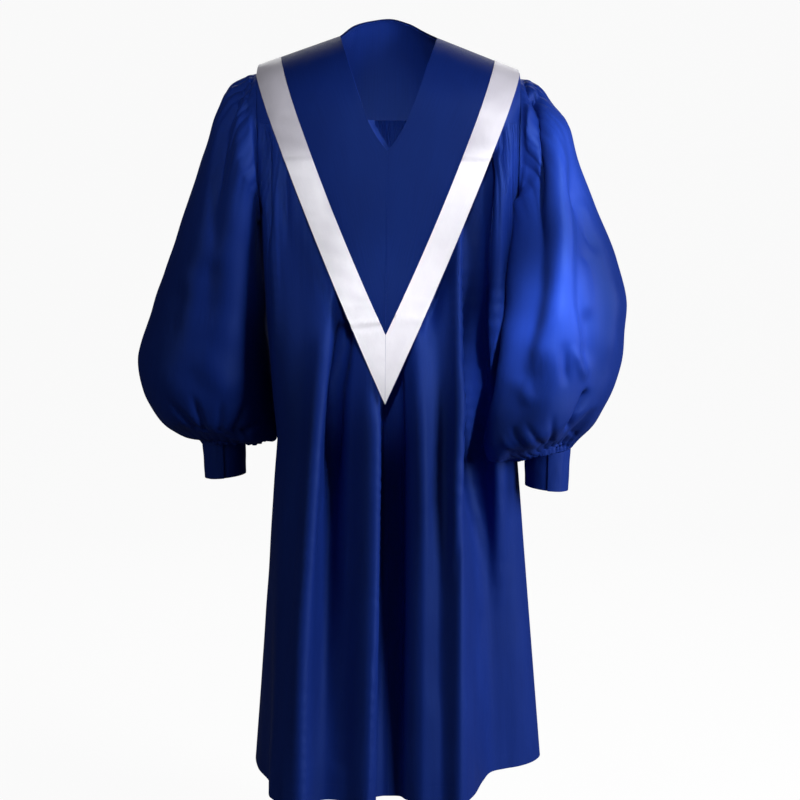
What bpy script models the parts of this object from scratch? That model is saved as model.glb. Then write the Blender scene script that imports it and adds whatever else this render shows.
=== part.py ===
# Choir robe with full bishop sleeves, and the V-shaped stole that is worn over it.
# The garment is filled out as on a wearer, and hollow. Every piece that a maker would cut
# is a wall of cloth of its own, through sections and folds that are named in the tables below.
# Metres, +Z up. +X is the viewer's right and +Y is the back of the garment.
# The origin lies between the two neck points, at the height of the shoulders.

import bmesh
import bpy
import numpy as np

for old in list(bpy.data.objects):
    bpy.data.objects.remove(old)

# Cloth and seams
CLOTH = 0.002
BAND_CLOTH = 0.0024
SEAM = 0.0003
REST = 0.0008

# Shoulders and yokes
NECK = 0.0745
SHOULDER = 0.2035
ARMHOLE_X = 0.200
SHOULDER_SLOPE = 0.37
LEAN = 0.02
YOKE_Z = -0.130
YOKE_ROWS = 6
YOKE_COLUMNS = 10
CHEST_HALF = 0.225
CHEST_DEPTH = 0.130
BACK_DEPTH = 0.105
CHEST_SQUARENESS = 2.6
ROBE_NECK_AT_YOKE = 0.0249
ROBE_NECK_BOTTOM_Z = -0.180
NECKLINE_ROUND = 0.6
NECKLINE = {
    "x": (-0.0745, -0.052, -0.028, 0.000, 0.030, 0.054, 0.0745),
    "y": (0.000, 0.045, 0.063, 0.070, 0.063, 0.044, 0.000),
    "z": (0.0015, 0.0205, 0.0280, 0.0320, 0.0240, 0.0105, -0.0015),
}

# Body of the robe
UNDERARM_Z = -0.270
HIP_Z = -0.620
HEM_Z = -1.160
FRONT_ROWS = (-0.165, -0.215, -0.270, -0.340, -0.420, -0.520, -0.620, -0.860, -1.160)
BACK_ROWS = (-0.165, -0.215, -0.249, -0.270, -0.420, -0.620, -1.160)
COLUMNS_PER_FOLD = 5
COLUMNS_PER_GATHER = 3
CREASE_AND_ROUND = (-1.0, 0.5)
SIDE = {
    "z": (UNDERARM_Z, -0.420, HIP_Z, HEM_Z),
    "left": (0.2000, 0.1925, 0.1745, 0.2190),
    "right": (0.2000, 0.1935, 0.2015, 0.2475),
}
DRAWN_WITH_SIDE = (1.0, 0.95, 0.8, 0.5, 0.25)

# Folds of the fronts, from the side seam to the centre front. Each row gives where the fold
# lies at the yoke seam (across), and at the underarm, the hip and the hem (across, forward).
FRONT_LEFT_FOLDS = (
    ("side seam", 0.200, (0.200, 0.000), (0.1745, 0.000), (0.219, 0.000)),
    ("side", 0.190, (0.198, 0.050), (0.176, 0.047), (0.210, 0.070)),
    ("corner", 0.176, (0.189, 0.084), (0.172, 0.088), (0.190, 0.128)),
    ("turn", 0.160, (0.170, 0.102), (0.158, 0.120), (0.184, 0.204)),
    ("flat", 0.138, (0.130, 0.115), (0.136, 0.142), (0.165, 0.230)),
    ("outer ridge", 0.115, (0.080, 0.128), (0.111, 0.163), (0.138, 0.236)),
    ("outer valley", 0.096, (0.058, 0.116), (0.0885, 0.126), (0.098, 0.212)),
    ("flat by the centre", 0.080, (0.042, 0.121), (0.057, 0.150), (0.068, 0.218)),
    ("centre ridge", 0.066, (0.028, 0.124), (0.026, 0.174), (0.038, 0.234)),
    ("folded edge", 0.054, (0.019, 0.123), (0.0135, 0.165), (0.020, 0.226)),
    ("turned under", 0.043, (0.013, 0.121), (0.0185, 0.128), (0.026, 0.206)),
    ("recess", 0.034, (0.007, 0.119), (0.009, 0.098), (0.011, 0.196)),
    ("centre front", ROBE_NECK_AT_YOKE, (0.000, 0.118), (0.000, 0.096), (0.000, 0.195)),
)
FRONT_RIGHT_FOLDS = (
    ("side seam", 0.200, (0.200, 0.000), (0.2015, 0.000), (0.2475, 0.000)),
    ("side", 0.192, (0.198, 0.050), (0.199, 0.030), (0.234, 0.035)),
    ("lobe edge", 0.182, (0.189, 0.082), (0.190, 0.048), (0.210, 0.058)),
    ("lobe", 0.168, (0.172, 0.099), (0.173, 0.058), (0.187, 0.070)),
    ("valley wall", 0.154, (0.157, 0.094), (0.151, 0.062), (0.164, 0.086)),
    ("side valley", 0.140, (0.143, 0.080), (0.136, 0.074), (0.148, 0.130)),
    ("drop", 0.126, (0.124, 0.107), (0.120, 0.148), (0.130, 0.198)),
    ("outer ridge", 0.110, (0.112, 0.121), (0.111, 0.171), (0.110, 0.232)),
    ("dip", 0.092, (0.062, 0.119), (0.082, 0.152), (0.079, 0.217)),
    ("inner ridge", 0.072, (0.034, 0.127), (0.0515, 0.160), (0.050, 0.226)),
    ("rise", 0.054, (0.020, 0.121), (0.0285, 0.140), (0.0275, 0.212)),
    ("recess", 0.038, (0.009, 0.119), (0.021, 0.098), (0.018, 0.197)),
    ("centre front", ROBE_NECK_AT_YOKE, (0.000, 0.118), (0.000, 0.096), (0.000, 0.195)),
)
GATHER_Z = (YOKE_Z, -0.165, -0.215, -0.270, -0.420)
GATHER_HEIGHT = (0.0012, 0.0022, 0.0022, 0.0014, 0.0)

# Back of the robe
FLUTES = 54
FLUTE_Z = (YOKE_Z, -0.165, -0.270, -0.420, -0.620)
FLUTE_HEIGHT = (0.0012, 0.0018, 0.0016, 0.0010, 0.0)
BACK_FOLDS = 11
BACK_FOLD_Z = (YOKE_Z, UNDERARM_Z, HIP_Z, HEM_Z)
BACK_FOLD_HEIGHT = (0.0, 0.004, 0.013, 0.021)
# How the back folds differ: waves along the back that shift the folds, and one that changes
# their height (waves over the width of the back, share of the width or of the height)
BACK_FOLD_SHIFTS = ((2.5, 0.012), (4.5, 0.008))
BACK_FOLD_UNEVEN = (2.7, 0.25)
BACK_SECTION = {
    "z": (YOKE_Z, UNDERARM_Z, HIP_Z, HEM_Z),
    "depth": (BACK_DEPTH, 0.118, 0.135, 0.190),
    "squareness": (CHEST_SQUARENESS, 2.5, 2.3, 2.2),
}

# Armhole and sleeves
ARMHOLE_HALF_DEPTH = {"front": 0.078, "back": 0.063}
SLEEVE_COLUMNS = 36
# Sections of the sleeves, from the sleeve head to the cuff: the outer and the inner point
# (out from the centre, back, up), and how far the front and the back stand off between them.
SLEEVE_SECTIONS = {
    "left": (
        ("head seam", (0.2035, 0.000, -0.044), (0.2010, 0.000, -0.2700), 0.078, 0.063),
        ("head", (0.2240, 0.002, -0.0560), (0.2080, 0.000, -0.2710), 0.086, 0.074),
        ("crown", (0.2450, 0.005, -0.0730), (0.2130, 0.004, -0.2810), 0.092, 0.086),
        ("upper arm", (0.2670, 0.010, -0.1110), (0.2120, 0.008, -0.3080), 0.094, 0.092),
        ("arm", (0.2930, 0.016, -0.1810), (0.2090, 0.014, -0.3520), 0.097, 0.097),
        ("above elbow", (0.3260, 0.024, -0.2740), (0.2040, 0.022, -0.4100), 0.101, 0.103),
        ("elbow", (0.3600, 0.032, -0.3690), (0.1975, 0.030, -0.4720), 0.106, 0.108),
        ("puff", (0.3900, 0.038, -0.4510), (0.1900, 0.036, -0.5340), 0.109, 0.110),
        ("widest", (0.4060, 0.042, -0.5080), (0.1850, 0.040, -0.5850), 0.107, 0.106),
        ("turn in", (0.3980, 0.043, -0.5590), (0.1815, 0.042, -0.6210), 0.098, 0.096),
        ("underside", (0.3710, 0.043, -0.6060), (0.1880, 0.042, -0.6420), 0.080, 0.078),
        ("gathered", (0.3320, 0.042, -0.6340), (0.2140, 0.041, -0.6390), 0.054, 0.053),
        ("above cuff", (0.3090, 0.041, -0.6400), (0.2310, 0.040, -0.6320), 0.038, 0.037),
        ("cuff seam", (0.3045, 0.040, -0.6460), (0.2345, 0.040, -0.6380), 0.035, 0.035),
    ),
    "right": (
        ("head seam", (0.2035, 0.000, -0.050), (0.2010, 0.000, -0.2700), 0.078, 0.063),
        ("head", (0.2210, -0.002, -0.0615), (0.2080, -0.002, -0.2710), 0.086, 0.070),
        ("crown", (0.2410, -0.006, -0.0800), (0.2115, -0.010, -0.2810), 0.096, 0.078),
        ("upper arm", (0.2630, -0.012, -0.1180), (0.2110, -0.024, -0.3060), 0.098, 0.078),
        ("arm", (0.2900, -0.018, -0.1780), (0.2050, -0.042, -0.3480), 0.098, 0.080),
        ("above elbow", (0.3230, -0.026, -0.2580), (0.1960, -0.062, -0.4060), 0.098, 0.086),
        ("elbow", (0.3560, -0.034, -0.3390), (0.1860, -0.082, -0.4700), 0.098, 0.091),
        ("puff", (0.3720, -0.042, -0.4140), (0.1740, -0.096, -0.5320), 0.097, 0.093),
        ("widest", (0.3655, -0.046, -0.4960), (0.1600, -0.104, -0.5820), 0.093, 0.090),
        ("turn in", (0.3490, -0.048, -0.5500), (0.1500, -0.105, -0.6200), 0.084, 0.079),
        ("underside", (0.3250, -0.047, -0.5960), (0.1580, -0.098, -0.6480), 0.068, 0.068),
        ("gathered", (0.3000, -0.044, -0.6240), (0.1850, -0.075, -0.6520), 0.050, 0.060),
        ("above cuff", (0.2920, -0.041, -0.6335), (0.2115, -0.045, -0.6405), 0.039, 0.038),
        ("cuff seam", (0.2885, -0.040, -0.6390), (0.2155, -0.042, -0.6465), 0.0355, 0.0355),
    ),
}
# How much the body presses in the inner back of each sleeve
PRESSED_BACK = {"left": 0.2, "right": 0.6}
SLEEVE_GATHER_HEIGHT = (0.0, 0.0020, 0.0042, 0.0042, 0.0026, 0.0008, 0.0, 0.0, 0.0, 0.0015, 0.0034,
                        0.0036, 0.0022, 0.0)
# Main folds of the sleeves: angle from the outer side towards the front, in degrees, at the
# head, the elbow and the cuff; width in degrees; and height at the head, the elbow and the cuff.
# The stations are those three places, as a share of the sleeve's length.
SLEEVE_STATIONS = (0.12, 0.45, 0.85)
SLEEVE_FOLDS = {
    "left": (
        ("outer valley", 66.0, 86.0, 90.0, 15.0, -0.012, -0.006, 0.0),
        ("front ridge", 112.0, 120.0, 120.0, 26.0, 0.008, 0.007, 0.0),
        ("inner valley", 165.0, 158.0, 150.0, 16.0, -0.008, -0.004, -0.004),
        ("roll behind the side", 205.0, 210.0, 210.0, 15.0, 0.012, 0.009, 0.0),
        ("back valley", 235.0, 245.0, 250.0, 18.0, -0.008, -0.010, 0.0),
        ("back ridge", 285.0, 290.0, 290.0, 24.0, 0.006, 0.007, 0.0),
    ),
    "right": (
        ("front valley", 106.0, 118.0, 128.0, 16.0, -0.014, -0.006, 0.0),
        ("front ridge", 70.0, 92.0, 112.0, 20.0, 0.010, 0.012, 0.008),
        ("outer valley", 46.0, 56.0, 66.0, 14.0, -0.006, -0.010, -0.006),
        ("roll before the side", 140.0, 150.0, 150.0, 18.0, 0.017, 0.010, 0.0),
        ("cuff pocket", 50.0, 50.0, 52.0, 12.0, 0.0, 0.0, -0.012),
        ("back valley", 238.0, 250.0, 255.0, 18.0, -0.008, -0.010, 0.0),
        ("back ridge", 288.0, 292.0, 292.0, 24.0, 0.006, 0.007, 0.0),
    ),
}

# Cuffs
CUFF_COLUMNS = 28
CUFF_OVERLAP = 24.0
CUFF_EDGE_ANGLE = 68.0
CUFF_LAP = {"starts": 330.0, "over": 25.0, "gap": 0.0006, "set_in": 0.0006}
CUFFS = {
    "left": {"bottom outer": (0.3010, 0.040, -0.7020), "bottom inner": (0.2345, 0.040, -0.6950)},
    "right": {"bottom outer": (0.2850, -0.042, -0.7070), "bottom inner": (0.2170, -0.042, -0.6990)},
}

# Stole and its bands. A V edge runs from the shoulder to its tip on the centre line:
# half width = spread * height above the tip - bow * height squared.
NECK_V_BOTTOM_Z = -0.171
BAND_INNER = {"front": {"tip": -0.447, "spread": 0.470, "bow": 0.172},
              "back": {"tip": -0.290, "spread": 0.660, "bow": 0.070}}
BAND_OUTER = {"front": {"tip": -0.5515, "spread": 0.455, "bow": 0.0936},
              "back": {"tip": -0.3615, "spread": 0.675, "bow": 0.072}}
TIP_CUT = 0.004
STOLE_SHIFT = 0.0094
STOLE_Z = (YOKE_Z, UNDERARM_Z, -0.420, -0.560)
STOLE_DEPTH = {"front": (CHEST_DEPTH, 0.1425, 0.155, 0.167), "back": (BACK_DEPTH, 0.127, 0.140, 0.150)}
FACING = {"front": -1.0, "back": 1.0}
STOLE_ROWS = 8
STOLE_COLUMNS = 4
STOLE_BACK_ROWS = 4
BAND_ROWS = 7
BAND_COLUMNS = 3
BAND_REACH = 0.2012
NECK_COLUMNS = 6
SHOULDER_COLUMNS = 3

# Colours: base colour, roughness
ROYAL_BLUE = ((0.006, 0.018, 0.150, 1.0), 0.55)
SILVER_SATIN = ((0.720, 0.705, 0.770, 1.0), 0.32)


# Shapes that the pieces share

def smooth_between(levels, values, z):
    # Cubic curve through the values at the levels, which never overshoots them.
    levels = -np.asarray(levels, dtype=float)
    values = np.asarray(values, dtype=float)
    step = np.diff(levels)
    slope = np.diff(values) / step
    tangent = np.zeros(len(levels))
    tangent[0] = slope[0]
    tangent[-1] = slope[-1]
    for i in range(1, len(levels) - 1):
        if slope[i - 1] * slope[i] > 0.0:
            tangent[i] = 2.0 * slope[i - 1] * slope[i] / (slope[i - 1] + slope[i])
    place = np.clip(-np.asarray(z, dtype=float), levels[0], levels[-1])
    i = np.clip(np.searchsorted(levels, place, side="right") - 1, 0, len(step) - 1)
    t = (place - levels[i]) / step[i]
    return (values[i] * (1 + 2 * t) * (1 - t) ** 2 + tangent[i] * step[i] * t * (1 - t) ** 2
            + values[i + 1] * t * t * (3 - 2 * t) + tangent[i + 1] * step[i] * t * t * (t - 1))


def rounded(x, half_width, depth, squareness):
    # Depth of a superellipse at x across.
    part = np.clip(np.abs(x) / half_width, 0.0, 1.0)
    return depth * (1.0 - part ** squareness) ** (1.0 / squareness)


def plan_curve(knots, columns):
    # Smooth curve in plan through the knots, with the same number of columns between each two.
    knots = np.asarray(knots, dtype=float)
    chord = np.sqrt(np.linalg.norm(np.diff(knots, axis=0), axis=1))
    slope = np.diff(knots, axis=0) / chord[:, None]
    before = chord[:-1, None]
    after = chord[1:, None]
    tangent = np.empty_like(knots)
    tangent[1:-1] = (slope[:-1] * after + slope[1:] * before) / (before + after)
    tangent[0] = (0.0, slope[0, 1])
    tangent[-1] = (slope[-1, 0], 0.0)
    t = np.linspace(0.0, 1.0, columns, endpoint=False)[:, None]
    pieces = []
    for i in range(len(knots) - 1):
        pieces.append(knots[i] * (1 + 2 * t) * (1 - t) ** 2 + tangent[i] * chord[i] * t * (1 - t) ** 2
                      + knots[i + 1] * t * t * (3 - 2 * t) + tangent[i + 1] * chord[i] * t * t * (t - 1))
    return np.vstack(pieces + [knots[-1:]])


def plan_normals(plan):
    # Horizontal unit normals of a curve in plan.
    along = np.gradient(plan, axis=0)
    across = np.column_stack((along[:, 1], -along[:, 0]))
    return across / np.linalg.norm(across, axis=1)[:, None]


def gather_wave(columns):
    # Rounded gathers with a narrow crease between them, uneven in height, none at the ends.
    column = np.arange(columns + 1)
    wave = np.where(column % COLUMNS_PER_GATHER == 0, *CREASE_AND_ROUND)
    uneven = 1.0 + 0.3 * np.sin(0.9 * column) + 0.2 * np.sin(0.37 * column + 1.0)
    ends = np.clip((np.minimum(column, columns - column) - COLUMNS_PER_GATHER) / 6.0, 0.0, 1.0)
    return wave * uneven * ends


def grid_normals(grid, ring=False):
    # Unit normals of a grid of points, from the differences along its rows and columns.
    down = np.gradient(grid, axis=0)
    if ring:
        across = np.roll(grid, -1, axis=1) - np.roll(grid, 1, axis=1)
    else:
        across = np.gradient(grid, axis=1)
    normal = np.cross(down, across)
    return normal / np.linalg.norm(normal, axis=2)[:, :, None]


def moved_out(grid, distance, outward):
    # The same grid moved along its normals, towards the side that outward points to.
    normal = grid_normals(grid)
    side = np.sign((normal * np.asarray(outward)).sum(axis=2))
    return grid + normal * side[:, :, None] * distance


def wall(name, grid, thickness, finish, ring=False, first_normals=None, last_normals=None, seams=()):
    # A closed wall of cloth whose middle is the grid. Along a seam, given as an edge of the grid
    # and an axis, the cut end is square to the axis.
    normal = grid_normals(grid, ring)
    for row, given in ((0, first_normals), (-1, last_normals)):
        if given is not None:
            facing = np.sign((normal[row] * given).sum(axis=1))
            normal[row] = given * facing[:, None]
    for edge, axis in seams:
        normal[edge + (axis,)] = 0.0
    normal /= np.linalg.norm(normal, axis=2)[:, :, None]
    rows, columns = grid.shape[:2]
    points = np.stack((grid + normal * thickness / 2, grid - normal * thickness / 2))
    number = np.arange(points.size // 3).reshape(2, rows, columns)
    if ring:
        number = np.concatenate((number, number[:, :, :1]), axis=2)
    faces = []
    for layer in number:
        faces.append(np.stack((layer[:-1, :-1], layer[:-1, 1:], layer[1:, 1:], layer[1:, :-1]), axis=-1))
    front, back = number
    for edge in (np.s_[0, :], np.s_[-1, :]):
        faces.append(np.stack((front[edge][:-1], front[edge][1:], back[edge][1:], back[edge][:-1]), axis=-1))
    if not ring:
        for edge in (np.s_[:, 0], np.s_[:, -1]):
            faces.append(np.stack((front[edge][:-1], front[edge][1:], back[edge][1:], back[edge][:-1]),
                                  axis=-1))
    quads = np.concatenate([face.reshape(-1, 4) for face in faces])
    mesh = bpy.data.meshes.new(name)
    mesh.from_pydata(points.reshape(-1, 3).tolist(), [], quads.tolist())
    work = bmesh.new()
    work.from_mesh(mesh)
    bmesh.ops.recalc_face_normals(work, faces=work.faces)
    work.to_mesh(mesh)
    work.free()
    mesh.shade_smooth()
    mesh.set_sharp_from_angle(angle=np.radians(60.0))
    item = bpy.data.objects.new(name, mesh)
    item.data.materials.append(material(name, finish))
    bpy.context.collection.objects.link(item)
    return item


def material(name, finish):
    colour, roughness = finish
    made = bpy.data.materials.new(name + "_finish")
    made.use_nodes = True
    shader = made.node_tree.nodes["Principled BSDF"]
    shader.inputs["Base Color"].default_value = colour
    shader.inputs["Roughness"].default_value = roughness
    shader.inputs["Metallic"].default_value = 0.0
    return made


# Shoulders, yokes and neckline

def shoulder_z(x):
    return -SHOULDER_SLOPE * (np.abs(x) - NECK) - LEAN * x


def shoulder_normals(x):
    # Straight up from the shoulder line, so that front and back meet face to face.
    slope = SHOULDER_SLOPE * np.sign(x) + LEAN
    normal = np.column_stack((slope, np.zeros_like(x), np.ones_like(x)))
    return normal / np.linalg.norm(normal, axis=1)[:, None]


def neck_edge(x):
    # Top of the back: the raised neckline between the neck points, the shoulder line outside.
    inside = np.abs(x) < NECK
    y = np.where(inside, smooth_between(NECKLINE_PLACES, NECKLINE["y"], -x), 0.0)
    z = np.where(inside, smooth_between(NECKLINE_PLACES, NECKLINE["z"], -x), shoulder_z(x))
    return y, z


NECKLINE_PLACES = tuple(-x for x in NECKLINE["x"])


def front_shoulder(x, height):
    # Front yoke surface: a quarter of an ellipse from the shoulder (height 1) to the yoke (0).
    y = -rounded(x, CHEST_HALF, CHEST_DEPTH, CHEST_SQUARENESS) * np.sqrt(1.0 - height ** 2)
    z = YOKE_Z + (shoulder_z(x) - YOKE_Z) * height
    return np.stack((x, y, z), axis=-1)


def back_shoulder(x, height):
    # Back yoke surface, from the neckline and shoulders (height 1) to the yoke seam (0).
    top_y, top_z = neck_edge(x)
    inside = np.clip(1.0 - (x / NECK) ** 2, 0.0, 1.0)
    curve = (1.0 - height ** 2) ** (0.5 * (1.0 + NECKLINE_ROUND * inside))
    y = top_y + (rounded(x, CHEST_HALF, BACK_DEPTH, CHEST_SQUARENESS) - top_y) * curve
    z = YOKE_Z + (top_z - YOKE_Z) * height
    return np.stack((x, y, z), axis=-1)


def yoke_heights():
    return np.cos(np.linspace(0.0, np.pi / 2, YOKE_ROWS + 1))


def build_front_yoke(side, name):
    height = yoke_heights()[:, None]
    across = np.linspace(0.0, 1.0, YOKE_COLUMNS + 1)[None, :]
    inner = ROBE_NECK_AT_YOKE + (NECK - ROBE_NECK_AT_YOKE) * height
    outer = ARMHOLE_X + (SHOULDER - ARMHOLE_X) * height
    x = side * (inner + (outer - inner) * across)
    grid = front_shoulder(x, height + 0.0 * x)
    grid[0, :, 1] = -SEAM / 2
    wall(name, grid, CLOTH, ROYAL_BLUE, first_normals=shoulder_normals(x[0]), seams=((np.s_[:, -1], 0),))


def back_columns(reach):
    # Places across the back: fixed over the neck, and shared out from there to the reach.
    drawn_in = np.minimum(1.0, reach / 0.12)
    neck = NECK * np.linspace(0.0, 1.0, NECK_COLUMNS) ** 0.8 * drawn_in
    share = np.linspace(0.0, 1.0, SHOULDER_COLUMNS + 1)[1:]
    outer = neck[-1] + (reach - neck[-1]) * share
    half = np.concatenate((neck, outer))
    return np.concatenate((-half[:0:-1], half))


def build_back_yoke():
    height = yoke_heights()
    x = np.array([back_columns(ARMHOLE_X + (SHOULDER - ARMHOLE_X) * h) for h in height])
    grid = back_shoulder(x, height[:, None] + 0.0 * x)
    on_shoulder = np.abs(x[0]) >= NECK - SEAM
    grid[0, on_shoulder, 1] = SEAM / 2
    normal = grid_normals(grid)[0]
    normal[on_shoulder] = shoulder_normals(x[0])[on_shoulder]
    armholes = ((np.s_[:, 0], 0), (np.s_[:, -1], 0))
    wall("back_yoke", grid, CLOTH, ROYAL_BLUE, first_normals=normal, seams=armholes)


# Fronts and back of the robe

def armhole_depth(z, depth):
    # Quarter of an ellipse, from the yoke seam in to the underarm.
    part = np.clip((z - YOKE_Z) / (UNDERARM_Z - YOKE_Z), 0.0, 1.0)
    return depth * np.sqrt(1.0 - part ** 2)


def side_reach(side_name, z):
    # How far out the side seam lies.
    return float(np.interp(-z, [-level for level in SIDE["z"]], SIDE[side_name]))


def front_knots(folds, side_name, z):
    # Where each fold lies at this height: (across, forward).
    levels = (YOKE_Z, UNDERARM_Z, HIP_Z, HEM_Z)
    knots = []
    for _, at_yoke, underarm, hip, hem in folds:
        set_in = rounded(at_yoke, CHEST_HALF, CHEST_DEPTH, CHEST_SQUARENESS) - GATHER_HEIGHT[0]
        x = smooth_between(levels, (at_yoke, underarm[0], hip[0], hem[0]), z)
        y = smooth_between(levels, (set_in, underarm[1], hip[1], hem[1]), z)
        knots.append([float(x), float(y)])
    if z > UNDERARM_Z:
        knots[0] = [ARMHOLE_X, float(armhole_depth(z, ARMHOLE_HALF_DEPTH["front"]))]
        knots[1] = [(knots[0][0] + knots[2][0]) / 2, (knots[0][1] + knots[2][1]) / 2]
    else:
        drawn = side_reach(side_name, z) - knots[0][0]
        for knot, share in zip(knots, DRAWN_WITH_SIDE):
            knot[0] += drawn * share
    drop = np.clip((z - ROBE_NECK_BOTTOM_Z) / (YOKE_Z - ROBE_NECK_BOTTOM_Z), 0.0, 1.0)
    knots[-1][0] = SEAM / 2 + ROBE_NECK_AT_YOKE * float(drop)
    return knots


def build_front(side, side_name, folds, name):
    heights = (YOKE_Z - SEAM,) + FRONT_ROWS
    columns = COLUMNS_PER_FOLD * (len(folds) - 1)
    wave = gather_wave(columns)
    rows = []
    for z in heights:
        plan = plan_curve(front_knots(folds, side_name, z), COLUMNS_PER_FOLD)
        out = plan_normals(plan)
        out *= np.sign(out[:, 1:2].sum())
        lift = np.interp(-z, [-level for level in GATHER_Z], GATHER_HEIGHT)
        plan = plan + out * (wave * lift)[:, None]
        if z <= UNDERARM_Z:
            plan[0, 1] = SEAM / 2
        rows.append(np.column_stack((side * plan[:, 0], -plan[:, 1], np.full(len(plan), z))))
    from_underarm = 1 + FRONT_ROWS.index(UNDERARM_Z)
    seams = ((np.s_[from_underarm:, 0], 1), (np.s_[:, -1], 0))
    wall(name, np.array(rows), CLOTH, ROYAL_BLUE, seams=seams)


def back_section(z, columns):
    # Half a superellipse round the back, in even steps of length, from left to right.
    left = side_reach("left", z)
    right = side_reach("right", z)
    depth = smooth_between(BACK_SECTION["z"], BACK_SECTION["depth"], z)
    squareness = smooth_between(BACK_SECTION["z"], BACK_SECTION["squareness"], z)
    if z > UNDERARM_Z:
        edge = armhole_depth(z, ARMHOLE_HALF_DEPTH["back"])
        left = right = ARMHOLE_X / (1.0 - (edge / depth) ** squareness) ** (1.0 / squareness)
        start = np.arcsin((edge / depth) ** (squareness / 2))
    else:
        start = 0.0
    angle = np.linspace(start, np.pi - start, 400)
    half_width = np.where(angle < np.pi / 2, left, right)
    x = -half_width * np.sign(np.cos(angle)) * np.abs(np.cos(angle)) ** (2 / squareness)
    y = depth * np.sin(angle) ** (2 / squareness)
    length = np.concatenate(([0.0], np.cumsum(np.hypot(np.diff(x), np.diff(y)))))
    place = np.linspace(0.0, length[-1], columns + 1)
    return np.column_stack((np.interp(place, length, x), np.interp(place, length, y)))


def build_back():
    heights = (YOKE_Z - SEAM,) + BACK_ROWS
    columns = COLUMNS_PER_GATHER * FLUTES
    flutes = gather_wave(columns)
    place = np.linspace(0.0, 1.0, columns + 1)
    shifted = place.copy()
    for waves, share in BACK_FOLD_SHIFTS:
        shifted += share * np.sin(2 * np.pi * waves * place)
    waves, share = BACK_FOLD_UNEVEN
    folds = -np.cos(2 * np.pi * BACK_FOLDS * shifted) * (1.0 + share * np.sin(2 * np.pi * waves * place))
    folds *= np.clip(np.minimum(place, 1.0 - place) * 6.0 - 0.1, 0.0, 1.0)
    rows = []
    for z in heights:
        plan = back_section(z, columns)
        out = plan_normals(plan)
        out *= np.sign(out[:, 1:2].sum())
        flute = np.interp(-z, [-level for level in FLUTE_Z], FLUTE_HEIGHT)
        fold = smooth_between(BACK_FOLD_Z, BACK_FOLD_HEIGHT, z)
        set_in = GATHER_HEIGHT[0] if z > YOKE_Z - CLOTH else 0.0
        plan = plan + out * (flutes * flute + folds * fold - set_in)[:, None]
        if z <= UNDERARM_Z:
            plan[[0, -1], 1] = SEAM / 2
        rows.append(np.column_stack((plan, np.full(len(plan), z))))
    from_underarm = 1 + BACK_ROWS.index(UNDERARM_Z)
    seams = ((np.s_[from_underarm:, 0], 1), (np.s_[from_underarm:, -1], 1))
    wall("back_panel", np.array(rows), CLOTH, ROYAL_BLUE, seams=seams)


# Sleeves and cuffs

def armhole_ring(side, angle):
    # The seam of the sleeve head, from the shoulder round the front to the underarm and back.
    up = np.cos(angle)
    forward = np.sin(angle)
    depth = np.where(forward > 0, ARMHOLE_HALF_DEPTH["front"], ARMHOLE_HALF_DEPTH["back"])
    top = shoulder_z(side * SHOULDER) - YOKE_Z
    bottom = YOKE_Z - UNDERARM_Z
    x = ARMHOLE_X + (SHOULDER - ARMHOLE_X) * np.clip(up, 0.0, 1.0)
    x = x + SEAM + (CLOTH / 2) * (1.0 - np.clip(up, 0.0, 1.0))
    return np.column_stack((x, -depth * forward, YOKE_Z + np.where(up > 0, top, bottom) * up))


def sleeve_grid(side, side_name):
    sections = SLEEVE_SECTIONS[side_name]
    angle = np.linspace(0.0, 2 * np.pi, SLEEVE_COLUMNS, endpoint=False)
    along = np.linspace(0.0, 1.0, len(sections))
    rows = []
    for _, outer, inner, front, back in sections:
        outer = np.array(outer)
        inner = np.array(inner)
        ring = (outer + inner) / 2 + np.outer(np.cos(angle), (outer - inner) / 2)
        pressed = 1.0 - PRESSED_BACK[side_name] * np.clip(-np.cos(angle), 0.0, 1.0)
        ring[:, 1] -= np.where(np.sin(angle) > 0, front, back * pressed) * np.sin(angle)
        rows.append(ring)
    rows[0] = armhole_ring(side, angle)
    rows[1] = 0.5 * rows[1] + 0.5 * (rows[0] + (rows[1].mean(axis=0) - rows[0].mean(axis=0)))
    grid = np.array(rows)
    relief = np.zeros(grid.shape[:2])
    for _, head, elbow, cuff, width, head_height, elbow_height, cuff_height in SLEEVE_FOLDS[side_name]:
        place = np.radians(np.interp(along, SLEEVE_STATIONS, (head, elbow, cuff)))
        height = np.interp(along, (0.0,) + SLEEVE_STATIONS + (1.0,),
                           (0.0, head_height, elbow_height, cuff_height, 0.0))
        apart = (angle[None, :] - place[:, None] + np.pi) % (2 * np.pi) - np.pi
        relief += height[:, None] * np.exp(-(apart / np.radians(width)) ** 2)
    column = np.arange(SLEEVE_COLUMNS)
    wave = np.where(column % COLUMNS_PER_GATHER == 1, *CREASE_AND_ROUND) * (1.0 + 0.3 * np.sin(1.1 * column))
    upper = np.where(along[:, None] < 0.5, 0.25 + 0.75 * (1.0 + np.cos(angle)[None, :]) / 2, 1.0)
    relief += np.array(SLEEVE_GATHER_HEIGHT)[:, None] * wave[None, :] * upper
    normal = grid_normals(grid, ring=True)
    centre = grid.mean(axis=1, keepdims=True)
    normal *= np.sign((normal * (grid - centre)).sum(axis=2))[:, :, None]
    return grid + normal * relief[:, :, None], angle


def build_sleeve(side, side_name, name):
    grid, angle = sleeve_grid(side, side_name)
    first = np.column_stack((np.zeros_like(angle), -np.sin(angle), np.cos(angle)))
    last = np.column_stack((side * np.cos(angle), -np.sin(angle), np.zeros_like(angle)))
    grid = grid * np.array((side, 1.0, 1.0))
    wall(name, grid, CLOTH, ROYAL_BLUE, ring=True, first_normals=first, last_normals=last)


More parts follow.
